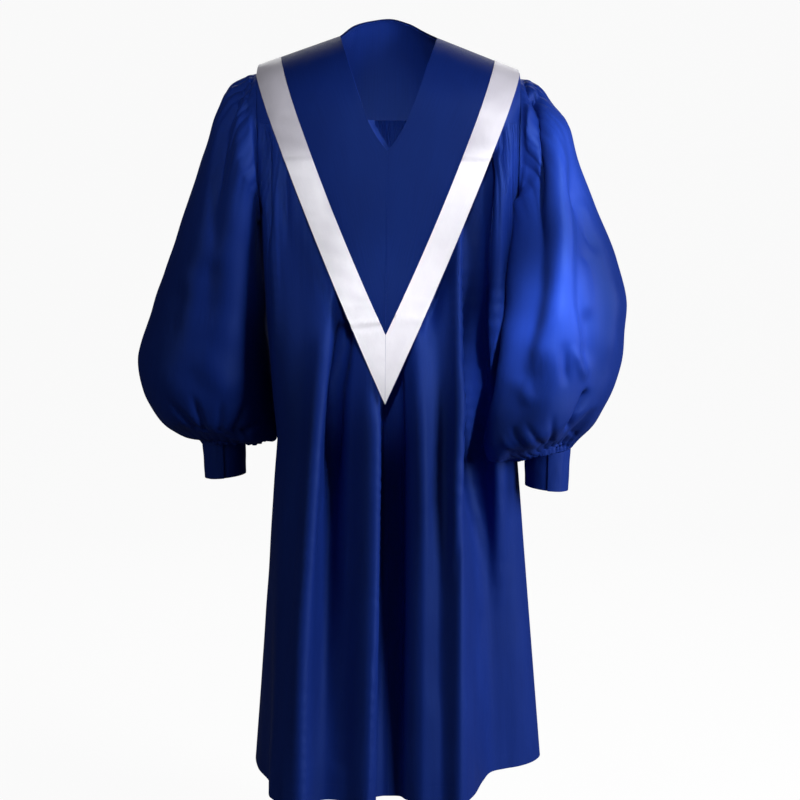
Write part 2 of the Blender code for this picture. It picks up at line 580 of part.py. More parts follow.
def build_cuff(side, side_name, name):
    # A strip wrapped once round the wrist, with its end lapped over its start.
    _, outer_top, inner_top, _, _ = SLEEVE_SECTIONS[side_name][-1]
    turns = np.linspace(0.0, np.radians(360.0 + CUFF_OVERLAP), CUFF_COLUMNS)
    angle = np.radians(CUFF_EDGE_ANGLE) + turns
    lap = np.clip((np.degrees(turns) - CUFF_LAP["starts"]) / CUFF_LAP["over"], 0.0, 1.0)
    growth = (CLOTH + CUFF_LAP["gap"]) * lap * lap * (3 - 2 * lap)
    rows = []
    for share in (0.0, 1.0):
        outer = (1 - share) * np.array(outer_top) + share * np.array(CUFFS[side_name]["bottom outer"])
        inner = (1 - share) * np.array(inner_top) + share * np.array(CUFFS[side_name]["bottom inner"])
        centre = (outer + inner) / 2
        half = (outer[0] - inner[0]) / 2 - CUFF_LAP["set_in"]
        tilt = (outer[2] - inner[2]) / 2
        radius = half + growth
        rows.append(np.column_stack((centre[0] + radius * np.cos(angle),
                                     centre[1] - radius * np.sin(angle),
                                     centre[2] + tilt * np.cos(angle) - SEAM * (share == 0.0))))
    grid = np.array(rows) * np.array((side, 1.0, 1.0))
    wall(name, grid, CLOTH, ROYAL_BLUE)


# Stole and bands

def v_edge(edge, z):
    height = np.maximum(z - edge["tip"], 0.0)
    return edge["spread"] * height - edge["bow"] * height ** 2


def edge_at_height(edge, height, side):
    # Half width where the V edge crosses a row of the yoke, found by repeated substitution.
    x = NECK
    for _ in range(30):
        x = float(v_edge(edge, YOKE_Z + (shoulder_z(side * x) - YOKE_Z) * height))
    return x


def stole_surface(x, z, face):
    # Below the yoke seam the stole hangs as one smooth rounded sheet.
    depth = smooth_between(STOLE_Z, STOLE_DEPTH[face], z)
    return np.stack((x, FACING[face] * rounded(x, CHEST_HALF, depth, CHEST_SQUARENESS), z), axis=-1)


def laid_on_robe(rows, face, thickness):
    # The stole lies on the robe's shoulders, and hangs a little off the centre line.
    grid = moved_out(np.array(rows), (CLOTH + thickness) / 2 + REST, (0.0, FACING[face], 0.3))
    grid[:, :, 0] += STOLE_SHIFT * np.minimum(grid[:, :, 2], 0.0)
    return grid


def build_stole_front(side, name):
    edge = BAND_INNER["front"]
    share = np.linspace(0.0, 1.0, STOLE_COLUMNS + 1)
    at_yoke = NECK * (1 - YOKE_Z / NECK_V_BOTTOM_Z)
    rows = []
    for height in yoke_heights():
        outer = edge_at_height(edge, height, side) - SEAM / 2
        inner = at_yoke + (NECK - at_yoke) * height
        x = side * (inner + (outer - inner) * share)
        rows.append(front_shoulder(x, height + 0.0 * x))
    below = np.linspace(NECK_V_BOTTOM_Z, edge["tip"] + TIP_CUT, STOLE_ROWS)
    for z in np.concatenate(([(YOKE_Z + NECK_V_BOTTOM_Z) / 2], below)):
        outer = float(v_edge(edge, z)) - SEAM / 2
        inner = NECK * max(0.0, 1 - z / NECK_V_BOTTOM_Z) + SEAM / 2
        x = side * (inner + (outer - inner) * share)
        rows.append(stole_surface(x, np.full_like(x, z), "front"))
    grid = laid_on_robe(rows, "front", CLOTH)
    grid[0, :, 1] = -SEAM / 2
    seams = ((np.s_[YOKE_ROWS + 2:, 0], 0),)
    wall(name, grid, CLOTH, ROYAL_BLUE, first_normals=shoulder_normals(grid[0, :, 0]), seams=seams)


def build_band(side, face, name):
    inner_edge = BAND_INNER[face]
    outer_edge = BAND_OUTER[face]
    shoulder = front_shoulder if face == "front" else back_shoulder
    share = np.linspace(0.0, 1.0, BAND_COLUMNS + 1)
    rows = []
    for height in yoke_heights():
        inner = edge_at_height(inner_edge, height, side)
        outer = min(edge_at_height(outer_edge, height, side), BAND_REACH)
        x = side * (inner + SEAM / 2 + (outer - inner - SEAM / 2) * share)
        rows.append(shoulder(x, height + 0.0 * x))
    inner_z = np.linspace(YOKE_Z, inner_edge["tip"], BAND_ROWS + 1)[1:]
    outer_z = np.linspace(YOKE_Z, outer_edge["tip"], BAND_ROWS + 1)[1:]
    for low_in, low_out in zip(inner_z, outer_z):
        z = low_in + (low_out - low_in) * share
        inner = float(v_edge(inner_edge, low_in))
        outer = float(v_edge(outer_edge, low_out))
        x = side * (SEAM / 2 + inner + (outer - inner) * share)
        rows.append(stole_surface(x, z, face))
    grid = laid_on_robe(rows, face, BAND_CLOTH)
    grid[0, :, 1] = FACING[face] * SEAM / 2
    seams = ((np.s_[-1, :], 0),)
    wall(name, grid, BAND_CLOTH, SILVER_SATIN, first_normals=shoulder_normals(grid[0, :, 0]), seams=seams)


def build_stole_back():
    edge = BAND_INNER["back"]
    rows = []
    for height in yoke_heights():
        x = back_columns(edge_at_height(edge, height, 1.0) - SEAM / 2)
        rows.append(back_shoulder(x, height + 0.0 * x))
    for z in np.linspace(YOKE_Z, edge["tip"] + TIP_CUT, STOLE_BACK_ROWS + 1)[1:]:
        x = back_columns(float(v_edge(edge, z)) - SEAM / 2)
        rows.append(stole_surface(x, np.full_like(x, z), "back"))
    grid = laid_on_robe(rows, "back", CLOTH)
    on_shoulder = np.abs(rows[0][:, 0]) >= NECK - SEAM
    grid[0, on_shoulder, 1] = SEAM / 2
    normal = grid_normals(grid)[0]
    normal[on_shoulder] = shoulder_normals(grid[0, :, 0])[on_shoulder]
    wall("stole_back", grid, CLOTH, ROYAL_BLUE, first_normals=normal)


def build_robe():
    build_back_yoke()
    build_back()
    for side, side_name, folds in ((-1.0, "left", FRONT_LEFT_FOLDS), (1.0, "right", FRONT_RIGHT_FOLDS)):
        build_front_yoke(side, "front_yoke_" + side_name)
        build_front(side, side_name, folds, "front_" + side_name)
        build_sleeve(side, side_name, "sleeve_" + side_name)
        build_cuff(side, side_name, "cuff_" + side_name)


def build_stole():
    build_stole_back()
    for side, side_name in ((-1.0, "left"), (1.0, "right")):
        build_stole_front(side, "stole_front_" + side_name)
        build_band(side, "front", "band_front_" + side_name)
        build_band(side, "back", "band_back_" + side_name)


build_robe()
build_stole()
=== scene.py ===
import math

import bpy
import numpy as np
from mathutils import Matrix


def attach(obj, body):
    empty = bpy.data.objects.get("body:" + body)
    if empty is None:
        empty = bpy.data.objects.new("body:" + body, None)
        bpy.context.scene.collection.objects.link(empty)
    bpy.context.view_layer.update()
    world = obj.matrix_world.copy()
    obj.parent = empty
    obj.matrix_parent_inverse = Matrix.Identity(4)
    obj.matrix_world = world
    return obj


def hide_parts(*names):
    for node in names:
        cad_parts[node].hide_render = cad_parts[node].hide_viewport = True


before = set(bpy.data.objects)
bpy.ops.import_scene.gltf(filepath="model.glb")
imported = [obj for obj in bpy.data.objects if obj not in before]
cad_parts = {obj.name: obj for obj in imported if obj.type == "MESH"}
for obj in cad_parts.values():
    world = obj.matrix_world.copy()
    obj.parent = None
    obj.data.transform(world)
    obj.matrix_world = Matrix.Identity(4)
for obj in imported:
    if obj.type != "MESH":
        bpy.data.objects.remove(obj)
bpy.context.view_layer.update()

print("frame loaded with", len(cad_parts), "nodes")

# Sizes in metres. +X is the viewer's right, +Y the back of the garment, +Z up.
# A drop is how far a place lies below the neck points, where the origin is.
garment = {
    "shell": 0.0011,          # thickness of the cloth that shows
    "wallHalf": 0.0010,       # half the thickness of the solids' walls, which the shells follow
    "seamGap": 0.0003,
    "sideSeamGap": 0.00004,   # so thin that no light shows through from the side
    "neck": 0.0745,
    "shoulder": 0.2035,
    "armholeX": 0.200,
    "slope": 0.37,
    "lean": 0.02,
    "yokeDrop": 0.130,
    "underarmDrop": 0.270,
    "hipDrop": 0.620,
    "hemDrop": 1.160,
    "chestHalf": 0.225,
    "chestDepth": 0.130,
    "backDepth": 0.105,
    "chestSquareness": 2.6,
    "sharpAngle": 70.0,       # degrees between two faces whose edge is shaded sharp
}

# Seeds of the random waves: the left side's, then the right side's.
seeds = {
    "frontSwell": (5, 6),
    "sleeveSwell": (7, 8),
    "frontGathers": (11, 12),
    "flutes": 21,
    "sleeveGathers": (31, 32),
    "cuffSwell": 41,
    "stoleSwell": (51, 52),
    "bandSwell": (61, 62),
}

# How finely the yokes and the stole are divided: steps down the yoke, points across.
counts = {
    "frontYoke": (26, 45),
    "backYoke": (34, 34, 28),         # steps down, points from the middle to the neck, steps beyond it
    "stoleFront": (30, 40),
    "stoleNeck": 10,                  # points from the yoke seam down to the tip of the neck opening
    "stoleFall": 60,                  # points from there down to the stole's own tip
    "stoleBack": (34, 30, 22),
    "stoleBackFall": 45,
    "band": (34, 17),
    "bandFall": 100,
}


# Curves and surfaces that the pieces share

def newObject(name, data):
    # An object with the data, linked to the scene.
    made = bpy.data.objects.new(name, data)
    bpy.context.scene.collection.objects.link(made)
    return made


def smoothBetween(levels, values, place):
    # Cubic curve through the values at the levels that never overshoots them. The values may
    # have several columns, and the result has one row for each place.
    levels = np.asarray(levels, float)
    values = np.asarray(values, float).reshape(len(levels), -1)
    step = np.diff(levels)[:, None]
    slope = np.diff(values, axis=0) / step
    product = slope[:-1] * slope[1:]
    total = np.where(product > 0, slope[:-1] + slope[1:], 1.0)
    inner = np.where(product > 0, 2 * product / total, 0.0)
    tangent = np.vstack((slope[:1], inner, slope[-1:]))
    place = np.clip(np.asarray(place, float), levels[0], levels[-1])
    i = np.clip(np.searchsorted(levels, place, side="right") - 1, 0, len(step) - 1)
    h = step[i]
    t = (place[:, None] - levels[i][:, None]) / h
    return (values[i] * (1 + 2 * t) * (1 - t) ** 2 + tangent[i] * h * t * (1 - t) ** 2
            + values[i + 1] * t * t * (3 - 2 * t) + tangent[i + 1] * h * t * t * (t - 1))


def smoothStep(t):
    # 3 t squared less 2 t cubed, from 0 to 1.
    t = np.clip(t, 0.0, 1.0)
    return t * t * (3 - 2 * t)


def rounded(x, halfWidth, depth, squareness):
    # Superellipse: depth * (1 - (x / halfWidth) ^ squareness) ^ (1 / squareness) at x across.
    part = np.clip(np.abs(x) / halfWidth, 0.0, 1.0)
    return depth * (1.0 - part ** squareness) ** (1.0 / squareness)


def planCurves(knots, columns):
    # knots[row, knot, (across, forward)]: one smooth curve in plan for each row, with the same
    # number of columns between each two knots.
    chord = np.sqrt(np.linalg.norm(np.diff(knots, axis=1), axis=2))[:, :, None]
    slope = np.diff(knots, axis=1) / chord
    tangent = np.empty_like(knots)
    before = chord[:, :-1]
    after = chord[:, 1:]
    tangent[:, 1:-1] = (slope[:, :-1] * after + slope[:, 1:] * before) / (before + after)
    tangent[:, 0] = slope[:, 0] * (0.0, 1.0)
    tangent[:, -1] = slope[:, -1] * (1.0, 0.0)
    t = np.linspace(0.0, 1.0, columns, endpoint=False)[None, None, :, None]
    a = knots[:, :-1, None]
    b = knots[:, 1:, None]
    ta = (tangent[:, :-1] * chord)[:, :, None]
    tb = (tangent[:, 1:] * chord)[:, :, None]
    curve = (a * (1 + 2 * t) * (1 - t) ** 2 + ta * t * (1 - t) ** 2
             + b * t * t * (3 - 2 * t) + tb * t * t * (t - 1))
    curve = curve.reshape(len(knots), -1, 2)
    return np.concatenate((curve, knots[:, -1:]), axis=1)


def smoothPath(points, samples=16):
    # Catmull-Rom curve through given points.
    p = np.asarray(points, float)
    p = np.vstack((2 * p[0] - p[1], p, 2 * p[-1] - p[-2]))
    t = np.linspace(0.0, 1.0, samples, endpoint=False)[:, None]
    parts = []
    for a, b, c, d in zip(p[:-3], p[1:-2], p[2:-1], p[3:]):
        parts.append(0.5 * (2 * b + (c - a) * t + (2 * a - 5 * b + 4 * c - d) * t ** 2
                            + (3 * b - a - 3 * c + d) * t ** 3))
    return np.vstack(parts + [p[-2:-1]])


def creaseRelief(across, drop, creases):
    # Each crease is a soft ridge or trough along a path seen from the front: its height times a
    # bell curve of the distance from the path, with its own width on each side, fading at its ends.
    relief = np.zeros_like(across)
    for crease in creases:
        _, path, leftWidth, rightWidth, height, fadeIn, fadeOut = crease
        curve = smoothPath(path)
        dx = across[..., None] - curve[:, 0]
        dz = drop[..., None] - curve[:, 1]
        square = dx * dx + dz * dz
        nearest = square.argmin(axis=-1)
        away = np.take_along_axis(square, nearest[..., None], -1)[..., 0]
        along = nearest / (len(curve) - 1)
        heading = np.gradient(curve, axis=0)[nearest]
        offX = np.take_along_axis(dx, nearest[..., None], -1)[..., 0]
        offZ = np.take_along_axis(dz, nearest[..., None], -1)[..., 0]
        onRight = offX * heading[..., 1] - offZ * heading[..., 0] > 0
        width = np.where(onRight, rightWidth, leftWidth)
        fade = np.ones_like(along)
        if fadeIn > 0:
            fade *= smoothStep(along / fadeIn)
        if fadeOut > 0:
            fade *= smoothStep((1 - along) / fadeOut)
        relief += height * fade * np.exp(-away / width ** 2)
    return relief


def gathers(place, count, crease, unevenness, seed):
    # Rounded gathers with a narrow crease between each two: 0.5 on the round, -1 in the crease.
    # Their widths and heights differ by a few slow waves. place runs from 0 to 1.
    random = np.random.default_rng(seed)
    shifted = place.copy()
    height = np.ones_like(place)
    for waves in (2.3, 4.1, 7.7):
        shifted += unevenness / count * np.sin(2 * np.pi * (waves * place + random.random()))
        height += 0.25 * unevenness * np.sin(2 * np.pi * (1.7 * waves * place + random.random()))
    phase = (shifted * count) % 1.0
    apart = np.minimum(phase, 1.0 - phase)
    return height * (0.5 - 1.5 * np.exp(-(apart / crease) ** 2))


def softNoise(u, v, sizes, seed):
    # Sum of slow sine waves in random directions: a few broad dents and swells, from -1 to 1.
    random = np.random.default_rng(seed)
    total = np.zeros_like(u)
    for size in sizes:
        for _ in range(3):
            angle = random.uniform(0.0, np.pi)
            start = random.uniform(0.0, 2 * np.pi)
            total += np.sin(2 * np.pi * (u * np.cos(angle) + v * np.sin(angle)) / size + start)
    return total / (3 * len(sizes))


def surfaceNormals(grid, ring=False):
    # Unit normals from the differences along the rows and columns of a grid.
    down = np.gradient(grid, axis=0)
    if ring:
        across = np.roll(grid, -1, axis=1) - np.roll(grid, 1, axis=1)
    else:
        across = np.gradient(grid, axis=1)
    normal = np.cross(down, across)
    return normal / np.maximum(np.linalg.norm(normal, axis=2), 1e-9)[:, :, None]


def facingOut(normal, outward):
    # The normals turned to the side that outward points to.
    side = np.sign((normal * outward).sum(axis=2))
    side[side == 0] = 1.0
    return normal * side[:, :, None]


def clothMap(grid, ring=False):
    # Metres across and down the cloth, measured on the grid itself, for the weave to follow.
    closed = np.concatenate((grid, grid[:, :1]), axis=1) if ring else grid
    across = np.linalg.norm(np.diff(closed, axis=1), axis=2)
    u = np.concatenate((np.zeros((len(grid), 1)), across.cumsum(axis=1)), axis=1)
    u -= u[:, -1:] / 2
    down = np.linalg.norm(np.diff(closed, axis=0), axis=2)
    v = np.concatenate((np.zeros((1, closed.shape[1])), down.cumsum(axis=0)), axis=0)
    return np.stack((u, v), axis=-1)


def clothPiece(name, grid, outward, ring=False, edgeNormals=None, lift=None, shell=None):
    # A thin closed shell: the grid's outer face lies where the solid's outer face is, and its
    # inner face a cloth's thickness inside. outward says which side of the grid is out.
    shell = garment["shell"] if shell is None else shell
    lift = garment["wallHalf"] if lift is None else lift
    normal = facingOut(surfaceNormals(grid, ring), outward)
    for row, given in (edgeNormals or {}).items():
        side = np.sign((normal[row] * given).sum(axis=1))
        normal[row] = given * side[:, None]
    outer = grid + normal * lift
    inner = outer - normal * shell
    rows, columns = grid.shape[:2]
    points = np.stack((outer, inner)).reshape(-1, 3)
    number = np.arange(2 * rows * columns).reshape(2, rows, columns)
    cloth = clothMap(grid, ring)
    mapColumns = np.arange(columns)
    if ring:
        number = np.concatenate((number, number[:, :, :1]), axis=2)
        mapColumns = np.append(mapColumns, columns)
    cloth = cloth[:, :len(mapColumns)]
    quads = []
    maps = []

    def addQuads(corners, places, turned):
        # Four-sided faces and their places on the map, in the opposite order where turned.
        order = slice(None, None, -1 if turned else 1)
        quads.append(np.stack(corners[order], axis=-1).reshape(-1, 4))
        maps.append(np.stack(places[order], axis=-2).reshape(-1, 4, 2))

    flip = np.sign((np.cross(grid[1, 0] - grid[0, 0], grid[0, 1] - grid[0, 0]) * normal[0, 0]).sum()) > 0
    for n, turned in ((number[0], not flip), (number[1], flip)):
        addQuads([n[:-1, :-1], n[1:, :-1], n[1:, 1:], n[:-1, 1:]],
                 [cloth[:-1, :-1], cloth[1:, :-1], cloth[1:, 1:], cloth[:-1, 1:]], turned)
    rims = [(np.s_[0, :], False), (np.s_[-1, :], True)]
    if not ring:
        rims += [(np.s_[:, 0], True), (np.s_[:, -1], False)]
    for edge, turned in rims:
        a = number[0][edge]
        b = number[1][edge]
        m = cloth[edge]
        addQuads([a[:-1], a[1:], b[1:], b[:-1]], [m[:-1], m[1:], m[1:], m[:-1]], turned == flip)
    quads = np.concatenate(quads)
    maps = np.concatenate(maps)
    mesh = bpy.data.meshes.new(name)
    mesh.from_pydata(points.tolist(), [], quads.tolist())
    mesh.uv_layers.new(name="cloth")
    mesh.uv_layers["cloth"].data.foreach_set("uv", maps.reshape(-1).astype(np.float32))
    mesh.shade_smooth()
    mesh.set_sharp_from_angle(angle=math.radians(garment["sharpAngle"]))
    piece = newObject(name, mesh)
    piece["columns"] = columns
    return piece


# Shoulders, yokes and neckline

neckline = {
    "across": (-0.0745, -0.052, -0.028, 0.000, 0.030, 0.054, 0.0745),
    "back": (0.000, 0.045, 0.063, 0.070, 0.063, 0.044, 0.000),
    "up": (0.0015, 0.0205, 0.0280, 0.0320, 0.0240, 0.0105, -0.0015),
    "roundness": 0.6,
    "columnsCloser": 0.8,     # power that draws the columns together towards the neck's corners
    "narrowBelow": 0.12,      # the neck's columns narrow where a row reaches less than this
    "robeAtYoke": 0.0310,
    "robeBottomDrop": 0.180,
}


def shoulderDrop(x):
    # Slope times the distance out from the neck, plus a lean across the whole garment.
    return garment["slope"] * (np.abs(x) - garment["neck"]) + garment["lean"] * x


def shoulderNormals(x):
    # Square to the shoulder line: (slope, 0, 1), made one long.
    slope = garment["slope"] * np.sign(x) + garment["lean"]
    normal = np.stack((slope, np.zeros_like(x), np.ones_like(x)), axis=-1)
    return normal / np.linalg.norm(normal, axis=-1)[..., None]


def frontShoulder(x, height):
    # A quarter of an ellipse from the shoulder, height 1, to the yoke seam, height 0.
    depth = rounded(x, garment["chestHalf"], garment["chestDepth"], garment["chestSquareness"])
    drop = garment["yokeDrop"] + (shoulderDrop(x) - garment["yokeDrop"]) * height
    return np.stack((x, -depth * np.sqrt(np.clip(1.0 - height ** 2, 0, 1)), -drop), axis=-1)


def backShoulder(x, height):
    # From the raised neckline and the shoulders, height 1, to the yoke seam, height 0.
    inside = np.abs(x) < garment["neck"]
    flat = x.reshape(-1)
    up = smoothBetween(neckline["across"], neckline["up"], flat).reshape(x.shape)
    back = smoothBetween(neckline["across"], neckline["back"], flat).reshape(x.shape)
    topY = np.where(inside, back, 0.0)
    topZ = np.where(inside, up, -shoulderDrop(x))
    roundness = neckline["roundness"] * np.clip(1.0 - (x / garment["neck"]) ** 2, 0.0, 1.0)
    curve = np.clip(1.0 - height ** 2, 0, 1) ** (0.5 * (1.0 + roundness))
    depth = rounded(x, garment["chestHalf"], garment["backDepth"], garment["chestSquareness"])
    z = -garment["yokeDrop"] + (topZ + garment["yokeDrop"]) * height
    return np.stack((x, topY + (depth - topY) * curve, z), axis=-1)


def yokeHeights(rows):
    # Even steps of angle round a quarter circle, so its cosine runs from 1 to 0.
    return np.cos(np.linspace(0.0, np.pi / 2, rows + 1))[:, None]


def armholeAcross(height):
    # The armhole seam leans in a little from the shoulder, height 1, to the yoke seam.
    return garment["armholeX"] + (garment["shoulder"] - garment["armholeX"]) * height


def frontYoke(side, name):
    # From the V neck edge to the armhole in even shares, on the front of the shoulder.
    rows, columns = counts["frontYoke"]
    height = yokeHeights(rows)
    share = np.linspace(0.0, 1.0, columns)[None, :]
    inner = neckline["robeAtYoke"] + (garment["neck"] - neckline["robeAtYoke"]) * height
    x = side * (inner + (armholeAcross(height) - inner) * share)
    grid = frontShoulder(x, height + 0.0 * x)
    grid[0, :, 1] = -garment["seamGap"] / 2
    return clothPiece(name, grid, (0.0, -1.0, 0.4), edgeNormals={0: shoulderNormals(x[0])})


def acrossBack(reach, neckColumns, outerColumns):
    # Places across the back, on both sides of the middle: close over the neck, then even.
    spread = np.linspace(0.0, 1.0, neckColumns)[None, :] ** neckline["columnsCloser"]
    inner = garment["neck"] * spread * np.minimum(1.0, reach / neckline["narrowBelow"])
    share = np.linspace(0.0, 1.0, outerColumns + 1)[None, 1:]
    outer = inner[:, -1:] + (reach - inner[:, -1:]) * share
    half = np.concatenate((inner, outer), axis=1)
    return np.concatenate((-half[:, :0:-1], half), axis=1)


def backYoke():
    # Across the back from armhole to armhole, rising to the neckline in the middle.
    rows, neckColumns, outerColumns = counts["backYoke"]
    height = yokeHeights(rows)
    x = acrossBack(armholeAcross(height), neckColumns, outerColumns)
    grid = backShoulder(x, height + 0.0 * x)
    onShoulder = np.abs(x[0]) >= garment["neck"] - garment["seamGap"]
    grid[0, onShoulder, 1] = garment["seamGap"] / 2
    normal = facingOut(surfaceNormals(grid), (0.0, 1.0, 0.4))[0]
    normal[onShoulder] = shoulderNormals(x[0])[onShoulder]
    return clothPiece("backYoke", grid, (0.0, 1.0, 0.4), edgeNormals={0: normal})


# Fronts of the robe

# From the side seam to the centre front: where each fold lies at the yoke seam (across), and at
# the underarm, the hip and the hem (across, forward).
frontFolds = {
    "left": (
        ("side seam", 0.200, (0.200, 0.000), (0.1745, 0.000), (0.219, 0.000)),
        ("side", 0.190, (0.198, 0.050), (0.176, 0.047), (0.210, 0.070)),
        ("corner", 0.176, (0.189, 0.084), (0.172, 0.088), (0.190, 0.128)),
        ("turn", 0.160, (0.170, 0.102), (0.158, 0.120), (0.184, 0.204)),
        ("flat", 0.138, (0.130, 0.115), (0.136, 0.142), (0.165, 0.230)),
        ("outer ridge", 0.115, (0.080, 0.128), (0.111, 0.163), (0.138, 0.236)),
        ("outer valley", 0.096, (0.058, 0.116), (0.0885, 0.126), (0.098, 0.212)),
        ("flat by the centre", 0.080, (0.042, 0.121), (0.057, 0.150), (0.068, 0.218)),
        ("centre ridge", 0.066, (0.028, 0.124), (0.026, 0.174), (0.038, 0.234)),
        ("folded edge", 0.054, (0.019, 0.123), (0.0135, 0.165), (0.020, 0.226)),
        ("turned under", 0.043, (0.013, 0.121), (0.0185, 0.128), (0.026, 0.206)),
        ("recess", 0.034, (0.007, 0.119), (0.009, 0.098), (0.011, 0.196)),
        ("centre front", 0.0249, (0.000, 0.118), (0.000, 0.096), (0.000, 0.195)),
    ),
    "right": (
        ("side seam", 0.200, (0.200, 0.000), (0.2015, 0.000), (0.2475, 0.000)),
        ("side", 0.192, (0.198, 0.050), (0.199, 0.030), (0.234, 0.035)),
        ("lobe edge", 0.182, (0.189, 0.082), (0.190, 0.048), (0.210, 0.058)),
        ("lobe", 0.168, (0.172, 0.099), (0.173, 0.058), (0.187, 0.070)),
        ("valley wall", 0.154, (0.157, 0.094), (0.151, 0.062), (0.164, 0.086)),
        ("side valley", 0.140, (0.143, 0.080), (0.136, 0.074), (0.148, 0.130)),
        ("drop", 0.126, (0.124, 0.107), (0.120, 0.148), (0.130, 0.198)),
        ("outer ridge", 0.110, (0.112, 0.121), (0.111, 0.171), (0.110, 0.232)),
        ("dip", 0.092, (0.062, 0.119), (0.082, 0.152), (0.079, 0.217)),
        ("inner ridge", 0.072, (0.034, 0.127), (0.0515, 0.160), (0.050, 0.226)),
        ("rise", 0.054, (0.020, 0.121), (0.0285, 0.140), (0.0275, 0.212)),
        ("recess", 0.038, (0.009, 0.119), (0.021, 0.098), (0.018, 0.197)),
        ("centre front", 0.0249, (0.000, 0.118), (0.000, 0.096), (0.000, 0.195)),
    ),
}

side = {
    "drop": (0.270, 0.420, 0.620, 1.160),
    "left": (0.2000, 0.1925, 0.1745, 0.2190),
    "right": (0.2000, 0.1935, 0.2015, 0.2475),
    "drawnWithIt": (1.0, 0.95, 0.8, 0.5, 0.25),
}

frontShape = {
    "rows": 168,
    "columnsPerFold": 15,
    "gatherCount": 27,
    "gatherForm": (0.20, 0.9),        # width of the creases between gathers, and unevenness
    "gatherEnds": (0.06, 0.10),       # shares of the width over which they fade: side, centre
    "creaseStart": 0.02,
    "creaseEnds": 0.04,
    "swellSizes": (0.11, 0.19),
    "gatherDrop": (0.130, 0.150, 0.185, 0.230, 0.300, 0.420),
    "gatherHeight": (0.0010, 0.0021, 0.0019, 0.0014, 0.0006, 0.0),
    "armholeDepth": 0.078,
    "swell": 0.0009,
    "setIn": 0.0012,
    "tuckUp": 0.005,          # seam allowance behind the yoke
    "tuckIn": 0.0016,
    "underlap": ((0.0003, 0.0020, 0.0), (0.0015, 0.0034, 0.0), (0.0050, 0.0036, 0.0), (0.0100, 0.0036, 0.0)),
}

# Creases: name, path of (across, drop) seen from the front, width to the left and to the right of the path
# going down, height, and the shares over which the ends fade.
frontCreases = {
    "left": (
        ("armhole ridge", ((-0.197, 0.129), (-0.195, 0.215), (-0.188, 0.283)), 0.006, 0.006, 0.004, 0.2, 0.4),
        ("armhole valley", ((-0.184, 0.135), (-0.184, 0.215), (-0.182, 0.275), (-0.186, 0.330)),
         0.005, 0.005, -0.010, 0.1, 0.4),
        ("edge ridge", ((-0.169, 0.190), (-0.173, 0.257), (-0.175, 0.343), (-0.175, 0.470), (-0.171, 0.600)),
         0.007, 0.008, 0.004, 0.2, 0.4),
        ("short valley", ((-0.158, 0.175), (-0.156, 0.257), (-0.153, 0.330)), 0.005, 0.006, -0.006, 0.1, 0.6),
        ("soft swell", ((-0.142, 0.200), (-0.139, 0.280), (-0.134, 0.360)), 0.012, 0.012, 0.003, 0.3, 0.5),
        ("band shadow", ((-0.118, 0.250), (-0.104, 0.330), (-0.088, 0.410)), 0.010, 0.008, -0.004, 0.3, 0.3),
        ("outer ridge", ((-0.0926, 0.430), (-0.101, 0.500), (-0.110, 0.589), (-0.119, 0.707), (-0.125, 0.796),
                         (-0.131, 0.885), (-0.134, 0.973), (-0.135, 1.160)), 0.014, 0.010, 0.008, 0.1, 0.0),
        ("black valley", ((-0.068, 0.440), (-0.076, 0.490), (-0.084, 0.540), (-0.088, 0.618), (-0.090, 0.678),
                          (-0.092, 0.780)), 0.006, 0.012, -0.026, 0.0, 0.5),
        ("edge roll", ((-0.016, 0.545), (-0.0175, 0.680), (-0.021, 0.860), (-0.026, 0.973), (-0.031, 1.160)),
         0.008, 0.005, 0.004, 0.1, 0.0),
        ("left fold", ((-0.155, 0.700), (-0.163, 0.850), (-0.172, 1.000), (-0.178, 1.160)),
         0.010, 0.014, -0.004, 0.4, 0.0),
        ("low swell", ((-0.062, 0.800), (-0.068, 0.950), (-0.076, 1.100)), 0.014, 0.014, -0.003, 0.4, 0.0),
    ),
    "right": (
        ("armhole ridge", ((0.186, 0.130), (0.182, 0.200), (0.172, 0.290)), 0.008, 0.008, 0.004, 0.2, 0.4),
        ("side valley", ((0.158, 0.160), (0.147, 0.200), (0.138, 0.242), (0.130, 0.328), (0.132, 0.440),
                         (0.133, 0.560), (0.134, 0.707), (0.132, 0.830)), 0.013, 0.015, -0.042, 0.1, 0.35),
        ("lobe", ((0.168, 0.330), (0.166, 0.450), (0.166, 0.560), (0.168, 0.680), (0.171, 0.790),
                  (0.176, 0.920)), 0.013, 0.018, 0.024, 0.2, 0.4),
        ("thin ridge", ((0.113, 0.250), (0.109, 0.330), (0.109, 0.456), (0.111, 0.559), (0.108, 0.648),
                        (0.105, 0.737), (0.097, 0.855)), 0.010, 0.0045, 0.010, 0.1, 0.3),
        ("wedge valley", ((0.088, 0.330), (0.074, 0.381), (0.0635, 0.423), (0.052, 0.480)),
         0.010, 0.010, -0.011, 0.2, 0.4),
        ("inner swell", ((0.045, 0.480), (0.051, 0.618), (0.054, 0.720), (0.052, 0.860)),
         0.010, 0.010, 0.004, 0.2, 0.4),
        ("soft dip", ((0.082, 0.500), (0.082, 0.600), (0.080, 0.700)), 0.009, 0.009, -0.003, 0.3, 0.4),
        ("low line", ((0.148, 0.880), (0.143, 0.950), (0.140, 1.040)), 0.006, 0.006, -0.0025, 0.3, 0.4),
        ("low swell", ((0.074, 0.980), (0.072, 1.060), (0.074, 1.160)), 0.012, 0.012, 0.003, 0.4, 0.0),
    ),
}


def armholeDepth(drop, depth):
    # Quarter of an ellipse, from the yoke seam in to the underarm.
    part = np.clip((drop - garment["yokeDrop"]) / (garment["underarmDrop"] - garment["yokeDrop"]), 0.0, 1.0)
    return depth * np.sqrt(1.0 - part ** 2)


def rowDrops(rows, top, bottom):
    # Rows a little closer together at the top, where the gathers are.
    t = np.linspace(0.0, 1.0, rows)
    return top + (bottom - top) * (0.75 * t + 0.25 * t ** 2)


